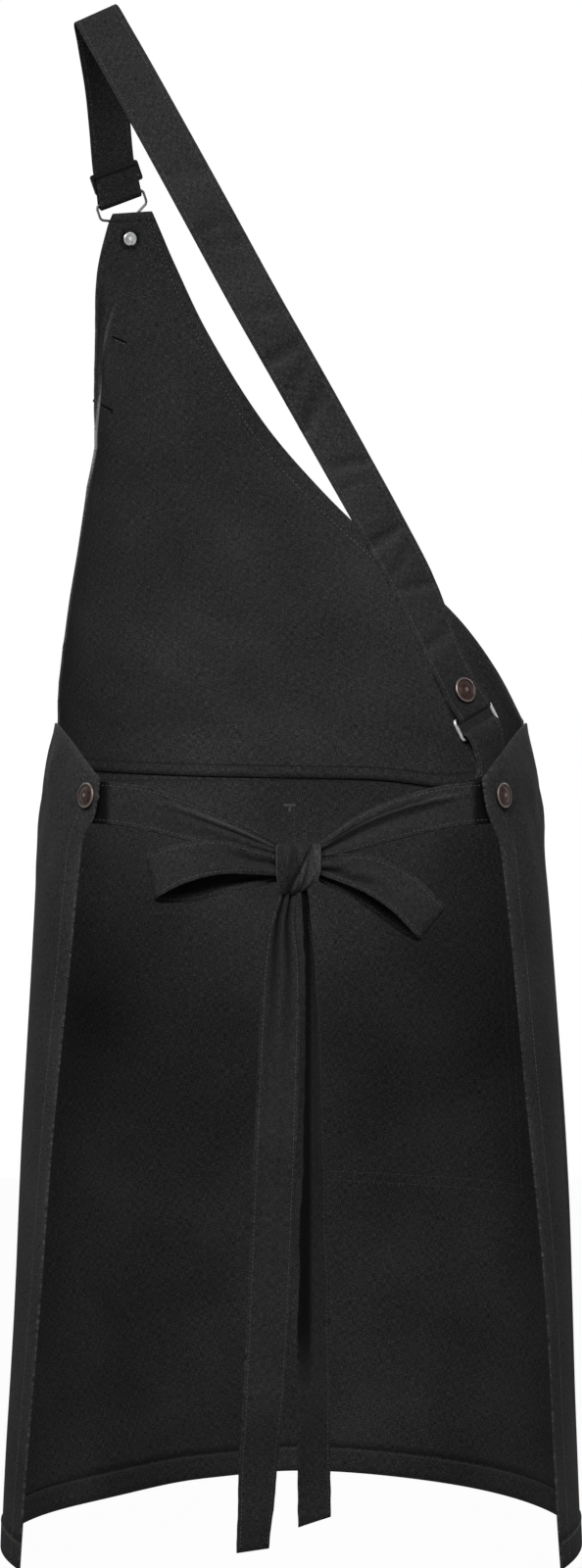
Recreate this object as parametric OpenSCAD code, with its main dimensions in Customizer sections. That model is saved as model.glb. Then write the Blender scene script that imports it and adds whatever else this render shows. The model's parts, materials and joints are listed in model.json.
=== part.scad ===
// One-shoulder bib apron of black woven cloth, shown as worn and seen from the back.
// Origin at the centre of the waist, +Z up, +Y towards the wearer's front, +X to the wearer's right.

/* [Body shape] */
// Half width of the worn apron at the waist
waist_half = 176; // [160:1:195]
// Half width of the skirt at the hem
hem_half = 203; // [190:1:225]
// Drop from the waist to the hem
skirt_drop = 533; // [450:1:620]
// Depth of the fold that hangs in the skirt's left front, at the hem
hem_fold = 26; // [0:1:35]

/* [Cloth] */
// Thickness of the panels' cloth
cloth_t = 1.0; // [0.8:0.1:1.2]
// Thickness of the doubled, edge-stitched strap and tab
strap_t = 1.6; // [1.2:0.1:1.8]
// Thickness of the ties
tie_t = 1.2; // [0.8:0.1:1.4]
// Gap left between layers that lie on each other
layer_gap = 0.3; // [0.2:0.05:0.4]

/* [Straps and ties] */
// Width of the shoulder strap
strap_w = 32; // [28:1:35]
// Width of the waist ties
tie_w = 28; // [24:1:30]

/* [Pocket] */
// Height of the front pocket
pocket_h = 288; // [200:1:320]
// How far the pocket's mouth stands open
pocket_gape = 16; // [12:1:20]

/* [Buttons] */
// Diameter of the button caps
button_d = 17; // [15:0.5:18]
// Height of the bib button's neck, which leaves room for the hook's wire
hook_neck_h = 5.4; // [5.2:0.1:6]
// Height of the other buttons' necks
neck_h = 2.2; // [1.8:0.1:3]
// Diameter of the button neck
neck_d = 7; // [6:0.1:7.5]
// Diameter of the tack's disc behind the cloth
tack_d = 9.6; // [8:0.1:11]

/* [Hook, slider and ring] */
// Wire diameter of the strap hook
hook_wire = 1.9; // [1.8:0.1:2.4]
// Distance from the hook's strap bar to the button it holds
hook_drop = 30; // [28:0.5:32]
// Wire diameter of the hip ring
ring_wire = 2.4; // [2.2:0.1:3]
// Distance between the two bars of the hip ring
ring_pitch = 15; // [14:0.5:18]

/* [Hidden] */
$fn = 48;

black_cloth = "#1d1d1e";
tie_cloth = "#222223";
bronze = "#4a3128";
nickel = "#b9bcc0";
black_metal = "#151515";

// Wearer's outline at each height: height, half width, centre, front depth and back depth
body_stations = [
    [-skirt_drop, hem_half, -20, 213, 213],
    [-skirt_drop * 0.45, mix(waist_half, hem_half, 0.52), -12, 171, 192],
    [0, waist_half, -5, 130, 170],
    [43, waist_half - 8.5, -3, 131, 165],
    [128, waist_half - 13, 5, 126, 160],
    [221, waist_half - 22, 14, 113, 150],
    [335, waist_half - 17, 20, 84, 150],
    [421, waist_half - 6, 21, 58, 150]];

// Outline of the bib: height, armhole edge under the free arm, and neck edge that sweeps to the hip
bib_outline = [
    [5, -waist_half, waist_half],
    [43, 8.2 - waist_half, waist_half - 8.2],
    [86, -165.5, 149],
    [128, -161.5, 120],
    [175, -155, 70.5],
    [221, -150, 23.5],
    [271, -147.5, -20.5],
    [335, -147, -62],
    [385, -140.5, -87],
    [412, -135, -99],
    [421, -131.5, -103]];

// Edges of the skirt: rise at the sides, and the angles that the back flaps reach
front_rise = 18;
side_rise = 43;
side_angle = 92;
flap_angle = 132.5;
flap_angle_hem = 114.7;
flap_lug = 4.1;

// Fold in the left front of the skirt, and the fuller cloth over the right hip
fold_angle = -47;
fold_spread = 26;
side_swell = 4;
swell_angle = 85;
swell_spread = 40;
swell_z = -290;
swell_reach = 150;

// Smooth values
function mix(a, b, t) = a + (b - a) * t;
function ease(t) = let (c = min(1, max(0, t))) c * c * (3 - 2 * c);
function bell(x, middle, spread) = exp(-pow((x - middle) / spread, 2));
function unit(v) = v / norm(v);

// Value of column k of a table at height z, on a smooth curve through the rows
function row_of(table, z, i = 0) = i >= len(table) - 2 || z < table[i + 1][0] ? i : row_of(table, z, i + 1);
function slope(table, i, k) =
    let (a = max(0, i - 1), b = min(len(table) - 1, i + 1))
    (table[b][k] - table[a][k]) / (table[b][0] - table[a][0]);
function curve(table, z, k) =
    let (i = row_of(table, z), h = table[i + 1][0] - table[i][0], t = (z - table[i][0]) / h)
    table[i][k] * (1 + 2 * t) * (1 - t) * (1 - t) + slope(table, i, k) * h * t * (1 - t) * (1 - t)
    + table[i + 1][k] * t * t * (3 - 2 * t) + slope(table, i + 1, k) * h * t * t * (t - 1);

// Point u, from 0 to 1, on a smooth curve through points
function spline(p, u) =
    let (n = len(p) - 1, i = min(n - 1, floor(u * n)), t = u * n - i,
         a = i > 0 ? p[i - 1] : 2 * p[0] - p[1], b = p[i], c = p[i + 1],
         d = i < n - 1 ? p[i + 2] : 2 * p[n] - p[n - 1])
    b + (c - a) * t / 2 + (2 * a - 5 * b + 4 * c - d) * t * t / 2 + (3 * b - a - 3 * c + d) * t * t * t / 2;

// Cloth as one closed sheet of thickness t about a grid of points
function grid_normal(g, i, j) =
    let (r = len(g) - 1, c = len(g[0]) - 1)
    unit(cross(g[min(r, i + 1)][j] - g[max(0, i - 1)][j], g[i][min(c, j + 1)] - g[i][max(0, j - 1)]));

module cloth(g, t) {
    r = len(g);
    c = len(g[0]);
    n = r * c;
    points = [for (side = [t / 2, -t / 2], i = [0:r - 1], j = [0:c - 1])
        g[i][j] + side * grid_normal(g, i, j)];
    rim = concat([for (j = [0:c - 1]) j], [for (i = [1:r - 1]) i * c + c - 1],
                 [for (j = [1:c - 1]) r * c - 1 - j], [for (i = [1:r - 2]) (r - 1 - i) * c]);
    faces = concat(
        [for (i = [0:r - 2], j = [0:c - 2]) [i * c + j, i * c + j + 1, (i + 1) * c + j + 1]],
        [for (i = [0:r - 2], j = [0:c - 2]) [i * c + j, (i + 1) * c + j + 1, (i + 1) * c + j]],
        [for (i = [0:r - 2], j = [0:c - 2]) [n + (i + 1) * c + j + 1, n + i * c + j + 1, n + i * c + j]],
        [for (i = [0:r - 2], j = [0:c - 2]) [n + (i + 1) * c + j, n + (i + 1) * c + j + 1, n + i * c + j]],
        [for (k = [0:len(rim) - 1]) [rim[(k + 1) % len(rim)], rim[k], n + rim[k]]],
        [for (k = [0:len(rim) - 1]) [rim[(k + 1) % len(rim)], n + rim[k], n + rim[(k + 1) % len(rim)]]]);
    polyhedron(points, faces, convexity = 12);
}

// Ribbon along stations of centre, width direction, width, and depth of its gathers
function ribbon(stations, across = 2, gathers = 1.5) =
    [for (s = stations) let (lift = unit(cross(s[4], s[1])))
        [for (k = [0:across]) let (v = k / across - 0.5)
            s[0] + s[1] * v * s[2] + lift * s[3] * cos(360 * gathers * v)]];

// Direction of travel at each station, added as its last value
function along(s) =
    [for (i = [0:len(s) - 1])
        concat(s[i], [unit(s[min(len(s) - 1, i + 1)][0] - s[max(0, i - 1)][0])])];

// Stations on a smooth run through control stations, in the given number of steps
function run(control, steps) =
    along([for (i = [0:steps]) let (u = i / steps)
        [spline([for (s = control) s[0]], u), unit(spline([for (s = control) s[1]], u)),
         spline([for (s = control) s[2]], u), max(0, spline([for (s = control) s[3]], u))]]);

// Point of the worn apron at an angle from the front and a height, moved out along the surface normal
function fold_in(angle, z) =
    hem_fold * bell(angle, fold_angle, fold_spread) * pow(max(0, -z / skirt_drop), 2)
    - side_swell * bell(angle, swell_angle, swell_spread) * bell(z, swell_z, swell_reach);
function body_raw(angle, z) =
    let (a = curve(body_stations, z, 1) - fold_in(angle, z),
         depth = curve(body_stations, z, abs(angle) > 90 ? 4 : 3) - fold_in(angle, z))
    [a * sin(angle), curve(body_stations, z, 2) + depth * cos(angle), z];
function body_normal(angle, z) =
    unit(cross(body_upward(angle, z), body_across(angle, z)));
function body_point(angle, z, out = 0) = body_raw(angle, z) + body_normal(angle, z) * out;
function body_across(angle, z) = unit(body_raw(angle + 0.5, z) - body_raw(angle - 0.5, z));
function body_upward(angle, z) = unit(body_raw(angle, z + 1) - body_raw(angle, z - 1));
function angle_at(x, z) = asin(min(0.9995, max(-0.9995, x / curve(body_stations, z, 1))));

// Upper edge of the skirt, and the edge of its back flaps
function skirt_top(angle) =
    let (q = abs(angle))
    q < side_angle ? mix(front_rise, side_rise, ease((q - 55) / (side_angle - 55)))
    : mix(side_rise, 3, pow((q - side_angle) / (flap_angle - side_angle), 2.2));
function flap_reach(z) =
    let (t = min(1, max(0, -z / skirt_drop)))
    mix(flap_angle - flap_lug, flap_angle_hem, t) + flap_lug * ease((z + 45) / 30);

module skirt_panel() {
    rows = 12;
    cols = 36;
    grid = [for (i = [0:rows]) [for (j = [0:cols])
        let (s = 2 * j / cols - 1, v = pow(i / rows, 1.35), top = skirt_top(s * flap_angle),
             z = mix(top, -skirt_drop, v))
        body_point(s * flap_reach(z), z)]];
    color(black_cloth) cloth(grid, cloth_t);
}

// Bib: its lower hem laps inside the skirt, and its armhole edge rolls in above the chest
bib_in = cloth_t + 4 * layer_gap;
bib_hem_rise = 7;
bib_hem_tilt = 4;
bib_dip = 6.5;
bib_dip_angle = 42;
bib_dip_spread = 14;
bib_level_z = 65;
bib_tip_drop = 3.5;
bib_tip_z = bib_outline[len(bib_outline) - 1][0];
bib_tip_reach = 50;
roll_depth = 5;
roll_z = 300;
roll_reach = 48;
roll_share = 0.16;
function bib_roll(u, z) = roll_depth * bell(z, roll_z, roll_reach) * ease((roll_share - u) / roll_share);
function bib_lift(u, angle, z) =
    let (hem = bib_hem_rise * pow(angle / 90, 2) - bib_hem_tilt * angle / 90
               - bib_dip * bell(angle, bib_dip_angle, bib_dip_spread))
    hem * ease((bib_level_z - z) / bib_level_z)
    - bib_tip_drop * (1 - u) * ease((z - bib_tip_z) / bib_tip_reach + 1);
function bib_point(u, z, out = 0) =
    let (angle = mix(angle_at(curve(bib_outline, z, 1), z), angle_at(curve(bib_outline, z, 2), z), u))
    body_point(angle, z + bib_lift(u, angle, z), out - bib_in - bib_roll(u, z));

module bib_panel() {
    rows = 20;
    cols = 20;
    bottom = bib_outline[0][0];
    grid = [for (i = [0:rows]) [for (j = [0:cols]) bib_point(j / cols, mix(bottom, bib_tip_z, i / rows))]];
    color(black_cloth) cloth(grid, cloth_t);
}

// Patch pocket on the wearer's right front, with a pen slot beside it
pocket_top = -18;
pocket_left = 0;
pocket_right = 61;
pen_seam = 0.12;
function pocket_swell(u, v) =
    let (w = u < pen_seam ? u / pen_seam : (u - pen_seam) / (1 - pen_seam),
         full = u < pen_seam ? 0.35 * pocket_gape : pocket_gape)
    full * pow(sin(180 * w), 0.8) * pow(1 - v, 0.75);

module front_pocket() {
    rows = 8;
    cols = 17;
    lift = cloth_t + layer_gap;
    grid = [for (i = [0:rows]) [for (j = [0:cols])
        let (u = j / cols, v = i / rows, angle = mix(pocket_left, pocket_right, u))
        body_point(angle, pocket_top - v * pocket_h, lift + pocket_swell(u, v))]];
    color(black_cloth) cloth(grid, cloth_t);
}

// Place and directions of the bib button and of the hook that holds it
button_x = -119.2;
button_z = 401;
button_angle = angle_at(button_x, button_z);
button_seat = body_point(button_angle, button_z, cloth_t / 2 - bib_in);
hook_out = body_normal(button_angle, button_z);
hook_tilt = 23;
hook_shift = 3.4;
hook_side = body_across(button_angle, button_z);
hook_up = cross(hook_side, hook_out);
hook_across = hook_side * cos(hook_tilt) + hook_up * sin(hook_tilt);
hook_down = hook_side * sin(hook_tilt) - hook_up * cos(hook_tilt);
hook_origin = button_seat + hook_out * hook_neck_h / 2 + hook_across * hook_shift - hook_down * hook_drop;

// Place and directions of the hip ring
ring_origin = [126, -101, 43];
ring_lean = [0.45, 0.08, -0.89];
ring_level = [0.672, 0.617, 0];
ring_down = unit(ring_lean);
ring_across = unit(ring_level - [0, 0, ring_level * ring_lean / ring_lean[2]]);
ring_out = cross(ring_down, ring_across);
ring_upper = ring_origin - ring_down * ring_pitch / 2;
ring_lower = ring_origin + ring_down * ring_pitch / 2;

// Half turn of a strap round a bar, from its outer side to its inner side
loop_r = 3.4;
turn_steps = 8;
function turn(bar, out, down, across) =
    [for (k = [0:turn_steps]) let (q = 180 * k / turn_steps)
        [bar + loop_r * (out * cos(q) + down * sin(q)), across, strap_w, 0]];

// Shoulder strap: lap behind the hook, over the shoulder, down the back and round the hip ring
// Its layers close up beyond each bar, with the slider between them at the hook
lap_h = 19;
lap_meet = 6;
lap_half = 2.2;
lap_lean = 0.19;
lap_way = unit(hook_down - lap_lean * hook_across);
hip_lap_h = 34;
hip_meet = 10;
hip_half = (strap_t + layer_gap) / 2;
front_straight = 27;
back_straight = [45, 20, hip_meet];
strap_back = [[-139.5, -3, 549], [-128, -24, 527], [-104, -50, 481], [-63, -77, 403], [-27, -92, 335],
              [3, -100, 281], [33, -105, 227], [63, -107, 173], [85, -107, 132]];
strap_back_across = [[0.9, 0.1, 0.43], [0.88, -0.1, 0.47], [0.87, -0.15, 0.47], [0.88, -0.1, 0.47],
                     [0.88, 0, 0.47], [0.88, 0.05, 0.47], [0.87, 0.12, 0.47], [0.85, 0.25, 0.46],
                     [0.8, 0.4, 0.45]];
strap_front = [[-132.5, 47, 483], [-135, 35, 510], [-138.5, 16, 537]];
strap_front_across = [[0.87, 0.35, 0.33], [0.87, 0.35, 0.36], [0.89, 0.2, 0.41]];

function strap_stations() =
    let (front_run = hook_origin + hook_out * lap_half, back_run = ring_upper + ring_out * hip_half,
         control = concat(
            [for (h = [lap_meet, front_straight]) [front_run - lap_way * h, hook_across, strap_w, 0]],
            [for (i = [0:len(strap_front) - 1]) [strap_front[i], unit(strap_front_across[i]), strap_w, 0]],
            [for (i = [0:len(strap_back) - 1]) [strap_back[i], unit(strap_back_across[i]), strap_w, 0]],
            [for (h = back_straight) [back_run - ring_down * h, ring_across, strap_w, 0]]),
         front_turn = turn(hook_origin, hook_out, hook_down, hook_across),
         back_turn = turn(ring_upper, ring_out, ring_down, ring_across))
    along(concat(
        [for (h = [lap_h, lap_meet])
            [hook_origin - hook_out * lap_half - lap_way * h, hook_across, strap_w, 0]],
        [for (k = [turn_steps:-1:0]) front_turn[k]],
        [for (s = run(control, 40)) [s[0], s[1], s[2], s[3]]],
        back_turn,
        [for (h = [hip_meet, hip_lap_h])
            [ring_upper - ring_out * hip_half - ring_down * h, ring_across, strap_w, 0]]));

module shoulder_strap() {
    color(tie_cloth) cloth(ribbon(strap_stations(), 2), strap_t);
}

// Hip tab: folded over the ring's lower bar, both ends sewn inside the right flap
tab_angle = 127;
tab_z = 9;
tab_ease = 3;
tab_rise = 9;
tab_straight = 6;
module hip_tab() {
    near = -(cloth_t + strap_t) / 2 - tab_ease;
    far = near - strap_t - layer_gap;
    loop = turn(ring_lower, ring_out, -ring_down, ring_across);
    seat_across = unit([0, 0, 0.3] - body_across(tab_angle, tab_z));
    outer = [[body_point(tab_angle, tab_z, near), seat_across, strap_w, 0],
             [body_point(tab_angle - 1, tab_z + tab_rise, near), seat_across, strap_w, 0],
             [ring_lower + ring_out * loop_r + ring_down * tab_straight, ring_across, strap_w, 0]];
    inner = [[ring_lower - ring_out * loop_r + ring_down * tab_straight, ring_across, strap_w, 0],
             [body_point(tab_angle - 1, tab_z + tab_rise, far), seat_across, strap_w, 0],
             [body_point(tab_angle, tab_z, far), seat_across, strap_w, 0]];
    stations = along(concat([for (s = run(outer, 6)) [s[0], s[1], s[2], s[3]]], loop,
                            [for (s = run(inner, 6)) [s[0], s[1], s[2], s[3]]]));
    color(tie_cloth) cloth(ribbon(stations, 2), strap_t);
}

// Waist ties: sewn inside the flaps, gathered into the knot at the middle of the back
tie_z = -12;
tie_in = -(cloth_t + tie_t) / 2 - 6 * layer_gap;
tie_sewn = [115, 122, 129];
knot_centre = [5, -126, -57];
knot_half = 15.5;
knot_depth = 11.5;
knot_rise = 17;
function tie_control(side) =
    let (knot_x = knot_centre[0] + side * (knot_half - 1))
    concat([for (q = tie_sewn) let (angle = side * q)
               [body_point(angle, tie_z, tie_in), body_upward(angle, tie_z), tie_w, 0]],
           [[[side * 113, -118.5, -14], [-side * 0.06, 0, 1], tie_w, 0],
            [[side * 90, -122, -18.5], [-side * 0.16, 0, 1], tie_w, 0.4],
            [[side * 56, -125, -29], [-side * 0.33, 0.1, 0.94], tie_w * 0.86, 1.4],
            [[knot_x, knot_centre[1] + 4, -46], [-side * 0.38, 0.3, 0.87], tie_w * 0.42, 2.2]]);

module tie(side) {
    color(tie_cloth) cloth(ribbon(run(tie_control(side), 18), 4), tie_t);
}
module tie_left() tie(-1);
module tie_right() tie(1);

// Knot: a band of the tie drawn tight round the middle, pinched to a tip below
module bow_knot() {
    rings = 8;
    sides = 18;
    points = [for (i = [0:rings])
        let (u = 2 * i / rings - 1, plump = pow(1 - pow(abs(u), 6), 0.25) * 0.25 + 0.75)
        for (k = [0:sides - 1]) let (q = 360 * k / sides, low = max(0, -sin(q)),
            pleat = 1 + 0.06 * cos(720 * u + 40) * max(0, -cos(q)))
        knot_centre + [knot_half * u * (1 - 0.35 * pow(low, 3)), knot_depth * plump * pleat * cos(q),
                       knot_rise * plump * sin(q) + 2 * u * low]];
    end = (rings + 1) * sides;
    faces = concat(
        [for (i = [0:rings - 1], k = [0:sides - 1]) let (m = (k + 1) % sides)
            [i * sides + k, i * sides + m, (i + 1) * sides + m]],
        [for (i = [0:rings - 1], k = [0:sides - 1]) let (m = (k + 1) % sides)
            [i * sides + k, (i + 1) * sides + m, (i + 1) * sides + k]],
        [for (k = [0:sides - 1]) [end, (k + 1) % sides, k]],
        [for (k = [0:sides - 1]) [end + 1, rings * sides + k, rings * sides + (k + 1) % sides]]);
    caps = [knot_centre - [knot_half, 0, 0], knot_centre + [knot_half, 0, 0]];
    color(tie_cloth) polyhedron(concat(points, caps), faces, convexity = 4);
}

// Bow loops: out from the knot in front, round the open end, and back behind
left_knot_x = knot_centre[0] - knot_half + 1;
right_knot_x = knot_centre[0] + knot_half - 1;
loop_left_control = [
    [[left_knot_x, -131, -55], [0.1, 0, 1], 13, 2],
    [[-45, -142, -49], [0, 0, 1], 22, 0.8],
    [[-72, -144, -53], [-0.1, 0.1, 1], 27, 0],
    [[-90, -141, -60], [-0.18, 0, 1], 30, 0],
    [[-94, -134, -63], [-0.18, 0, 1], 30, 0],
    [[-88, -128, -64], [-0.15, 0, 1], 30, 0],
    [[-66, -128, -62], [-0.1, 0, 1], 27, 0],
    [[-38, -130, -59], [0, 0, 1], 20, 0.6],
    [[left_knot_x, -124, -60], [0.1, 0, 1], 12, 1]];
loop_right_control = [
    [[right_knot_x, -131, -54], [0, 0, 1], 13, 2],
    [[50, -142, -60], [0.16, 0, 1], 24, 0.8],
    [[72, -144, -71], [0.4, 0.1, 0.9], 28, 0],
    [[91, -141, -89], [0.6, 0, 0.8], 28, 0],
    [[95, -134, -94], [0.6, 0, 0.8], 28, 0],
    [[88, -128, -91], [0.6, 0, 0.8], 28, 0],
    [[68, -128, -74], [0.4, 0, 0.9], 26, 0],
    [[44, -130, -63], [0.16, 0, 1], 20, 0.6],
    [[right_knot_x, -124, -60], [0, 0, 1], 12, 1]];

module bow_loop_left() {
    color(tie_cloth) cloth(ribbon(run(loop_left_control, 24), 4), tie_t);
}
module bow_loop_right() {
    color(tie_cloth) cloth(ribbon(run(loop_right_control, 24), 4), tie_t);
}

// Tie tails hang below the knot, gathered at the top and turned a little as they fall
tail_left_control = [
    [[-3, -126, -78], [1, 0.1, 0], 12, 2.4],
    [[-6, -128, -97], [1, 0.1, 0], 17, 2.6],
    [[-6.5, -131, -131], [1, 0, 0], 25, 1.8],
    [[-9.5, -132, -218], [1, 0, 0], 28, 0.8],
    [[-13, -131, -305], [1, 0.1, 0], 29, 0.4],
    [[-17, -130, -393], [1, 0.2, 0], 29, 0],
    [[-22, -130, -460], [1, 0.5, 0], 28, 0],
    [[-25.5, -130, -515], [1, 0.8, -0.05], 27, 0]];
tail_right_control = [
    [[9.5, -124, -78], [0.6, 0.8, 0], 6, 0.6],
    [[10.5, -120, -97], [0.45, 0.9, 0], 9.5, 0.8],
    [[12.5, -118, -131], [0.3, 0.95, 0], 20, 0.6],
    [[14, -118, -218], [0.4, 0.9, 0], 26, 0.3],
    [[14, -120, -305], [0.6, 0.8, 0], 28, 0],
    [[14, -122, -393], [0.75, 0.66, 0], 28, 0],
    [[14.5, -124, -450], [0.75, 0.66, 0], 28, 0],
    [[14.5, -124, -497], [0.75, 0.66, 0.1], 28, 0]];

module tie_tail_left() {
    color(tie_cloth) cloth(ribbon(run(tail_left_control, 21), 4), tie_t);
}
module tie_tail_right() {
    color(tie_cloth) cloth(ribbon(run(tail_right_control, 21), 4), tie_t);
}

// Frame with its X axis across, its Y axis down and its Z axis out
module framed(origin, across, down) {
    out = cross(across, down);
    multmatrix([[across[0], down[0], out[0], origin[0]],
                [across[1], down[1], out[1], origin[1]],
                [across[2], down[2], out[2], origin[2]],
                [0, 0, 0, 1]]) children();
}

// Straight wire between two points of a flat frame, and a bend of wire about a centre
// A straight's ends run a little way into the bends, which are a hair thicker
wire_seat = 0.2;
bend_extra = 0.04;
module rod(a, b, d) {
    way = unit(b - a);
    turned = atan2(way[1], way[0]);
    translate(a - way * wire_seat) rotate([0, 90, turned]) cylinder(h = norm(b - a) + 2 * wire_seat, d = d);
}
module bend(centre, r, from, to, d) {
    translate(centre) rotate(from) rotate_extrude(angle = to - from)
        translate([r, 0]) circle(d = d + bend_extra);
}

// Strap hook: one bent wire, its bar in the strap, its shoulders drawn in to a loop round the button's neck
hook_half = strap_w / 2 + hook_wire + 1;
hook_corner = 2.6;
hook_leg = 8;
hook_shoulder = 3.5;
hook_draw_in = 65;
hook_clear = 0.5;
hook_bend = neck_d / 2 + hook_shift + hook_clear + hook_wire / 2;
module wire_hook() {
    turned = [cos(hook_draw_in), sin(hook_draw_in)];
    corner = [hook_half - hook_corner, hook_corner];
    shoulder = [hook_half - hook_shoulder, hook_leg];
    top = shoulder + hook_shoulder * turned;
    slant = (top[0] - hook_bend - hook_shoulder * (1 - turned[0])) / turned[1];
    foot = top + slant * [-turned[1], turned[0]];
    waist = foot + hook_shoulder * turned;
    color(nickel) framed(hook_origin, hook_across, hook_down) {
        rod([-corner[0], 0], [corner[0], 0], hook_wire);
        for (side = [0, 1]) mirror([side, 0, 0]) {
            bend(corner, hook_corner, -90, 0, hook_wire);
            rod([hook_half, hook_corner], [hook_half, hook_leg], hook_wire);
            bend(shoulder, hook_shoulder, 0, hook_draw_in, hook_wire);
            rod(top, foot, hook_wire);
            bend(waist, hook_shoulder, 180, 180 + hook_draw_in, hook_wire);
            rod([hook_bend, waist[1]], [hook_bend, hook_drop], hook_wire);
        }
        bend([0, hook_drop], hook_bend, 0, 180, hook_wire);
    }
}

// Strap slider: a flat black frame of three bars between the strap's two layers
slider_h = 15;
slider_up = 15;
slider_side = 2.4;
slider_bar = 3;
slider_t = 2;
slider_round = 2;
slider_clear = 0.8;
module rounded(w, h, r) {
    square([w - 2 * r, h], center = true);
    square([w, h - 2 * r], center = true);
    for (x = [-1, 1], y = [-1, 1]) translate([x * (w / 2 - r), y * (h / 2 - r)]) circle(r);
}
module strap_slider() {
    wide = strap_w + 2 * slider_clear;
    slot = (slider_h - 3 * slider_bar) / 2;
    color(black_metal) framed(hook_origin - lap_way * slider_up, hook_across, hook_down)
        translate([0, 0, -slider_t / 2]) linear_extrude(slider_t) difference() {
            rounded(wide + 2 * slider_side, slider_h, slider_round);
            for (side = [-1, 1])
                translate([0, side * (slot + slider_bar) / 2]) square([wide, slot], center = true);
        }
}

// Hip ring: a rectangle of round wire with rounded corners
ring_half = strap_w / 2 + ring_wire / 2 + 1.1;
ring_corner = 3;
module hip_ring() {
    x = ring_half - ring_corner;
    y = ring_pitch / 2 - ring_corner;
    color(nickel) framed(ring_origin, ring_across, ring_down) {
        for (side = [-1, 1]) {
            rod([-x, side * ring_pitch / 2], [x, side * ring_pitch / 2], ring_wire);
            rod([side * ring_half, -y], [side * ring_half, y], ring_wire);
        }
        for (k = [0:3]) {
            centre = [[x, y], [-x, y], [-x, -y], [x, -y]][k];
            bend(centre, ring_corner, 90 * k, 90 * k + 90, ring_wire);
        }
    }
}

// Tack buttons: the cap turns on the pin of a tack that is pressed through the cloth
pin_d = 2.8;
pin_gap = 0.08;
rim_h = 1.6;
dome_h = 1.2;
disc_h = 0.9;
module seated(point, out) {
    translate(point) rotate([0, acos(out[2]), atan2(out[1], out[0])]) children();
}
module button_cap(neck) {
    r = button_d / 2;
    bore = pin_d / 2 + pin_gap;
    top = neck + rim_h;
    rotate_extrude() polygon([
        [bore, layer_gap], [neck_d / 2, layer_gap], [neck_d / 2, neck], [r - 0.6, neck], [r, neck + 0.6],
        [r, top - 0.4], [r - 0.5, top], [r - 1.4, top], [r - 2, top - 0.4], [r * 0.45, top + dome_h - 0.6],
        [0, top + dome_h - 0.4], [0, neck + 0.6], [bore, neck + 0.6]]);
}
// Tack: disc behind a stack of cloth, with its pin up into the cap
module button_tack(stack, neck) {
    r = tack_d / 2;
    tip = stack + disc_h + neck;
    translate([0, 0, -stack - disc_h]) rotate_extrude() polygon([
        [0, 0], [r - 0.6, 0.2], [r, 0.6], [r - 0.1, disc_h],
        [pin_d / 2, disc_h], [pin_d / 2, tip], [0, tip]]);
}

module bib_button() {
    color(bronze) seated(button_seat, hook_out) button_cap(hook_neck_h);
}
module bib_tack() {
    color(nickel) seated(button_seat, hook_out) button_tack(cloth_t, hook_neck_h);
}

strap_button_up = 15;
strap_button_seat = ring_upper - ring_down * strap_button_up + ring_out * (hip_half + strap_t / 2);
module strap_button() {
    color(bronze) seated(strap_button_seat, ring_out) button_cap(neck_h);
}
module strap_tack() {
    color(nickel) seated(strap_button_seat, ring_out) button_tack(2 * strap_t + layer_gap, neck_h);
}

hip_angle_left = -129.5;
hip_angle_right = 126.5;
hip_z = -8;
hip_stack = (cloth_t + tie_t) / 2 - tie_in + layer_gap;
module hip_seat(angle) {
    seated(body_point(angle, hip_z, cloth_t / 2), body_normal(angle, hip_z)) children();
}
module hip_button_left() {
    color(bronze) hip_seat(hip_angle_left) button_cap(neck_h);
}
module hip_tack_left() {
    color(nickel) hip_seat(hip_angle_left) button_tack(hip_stack, neck_h);
}
module hip_button_right() {
    color(bronze) hip_seat(hip_angle_right) button_cap(neck_h);
}
module hip_tack_right() {
    color(nickel) hip_seat(hip_angle_right) button_tack(hip_stack, neck_h);
}

skirt_panel();
bib_panel();
front_pocket();
shoulder_strap();
hip_tab();
tie_left();
tie_right();
bow_knot();
bow_loop_left();
bow_loop_right();
tie_tail_left();
tie_tail_right();
strap_slider();
wire_hook();
hip_ring();
bib_button();
bib_tack();
strap_button();
strap_tack();
hip_button_left();
hip_tack_left();
hip_button_right();
hip_tack_right();
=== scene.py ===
import json
import math

import bpy
import numpy as np
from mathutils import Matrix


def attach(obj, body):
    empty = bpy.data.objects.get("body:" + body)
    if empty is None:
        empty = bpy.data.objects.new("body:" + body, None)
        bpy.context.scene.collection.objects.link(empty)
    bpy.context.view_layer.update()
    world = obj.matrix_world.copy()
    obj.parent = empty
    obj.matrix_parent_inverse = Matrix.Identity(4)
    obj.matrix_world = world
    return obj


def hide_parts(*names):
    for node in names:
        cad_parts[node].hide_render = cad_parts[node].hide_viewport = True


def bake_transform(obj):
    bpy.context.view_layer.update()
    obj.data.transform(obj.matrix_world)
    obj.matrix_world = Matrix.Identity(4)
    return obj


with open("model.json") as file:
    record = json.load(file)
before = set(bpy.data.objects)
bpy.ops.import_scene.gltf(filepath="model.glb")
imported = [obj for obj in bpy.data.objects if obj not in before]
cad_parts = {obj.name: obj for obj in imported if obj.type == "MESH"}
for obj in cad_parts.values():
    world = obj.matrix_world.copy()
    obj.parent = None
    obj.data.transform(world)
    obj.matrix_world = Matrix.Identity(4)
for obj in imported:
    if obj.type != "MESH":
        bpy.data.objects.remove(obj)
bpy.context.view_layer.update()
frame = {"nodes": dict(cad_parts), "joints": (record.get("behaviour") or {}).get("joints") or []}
joints = {joint["name"]: joint for joint in frame["joints"]}
print("frame loaded:", len(frame["nodes"]), "nodes")

# sizes below are in millimetres and degrees, the scene is in metres
mm = 0.001


def mix(a, b, t):
    return a + (b - a) * t


def ease(t):
    t = np.clip(t, 0, 1)
    return t * t * (3 - 2 * t)


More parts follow.
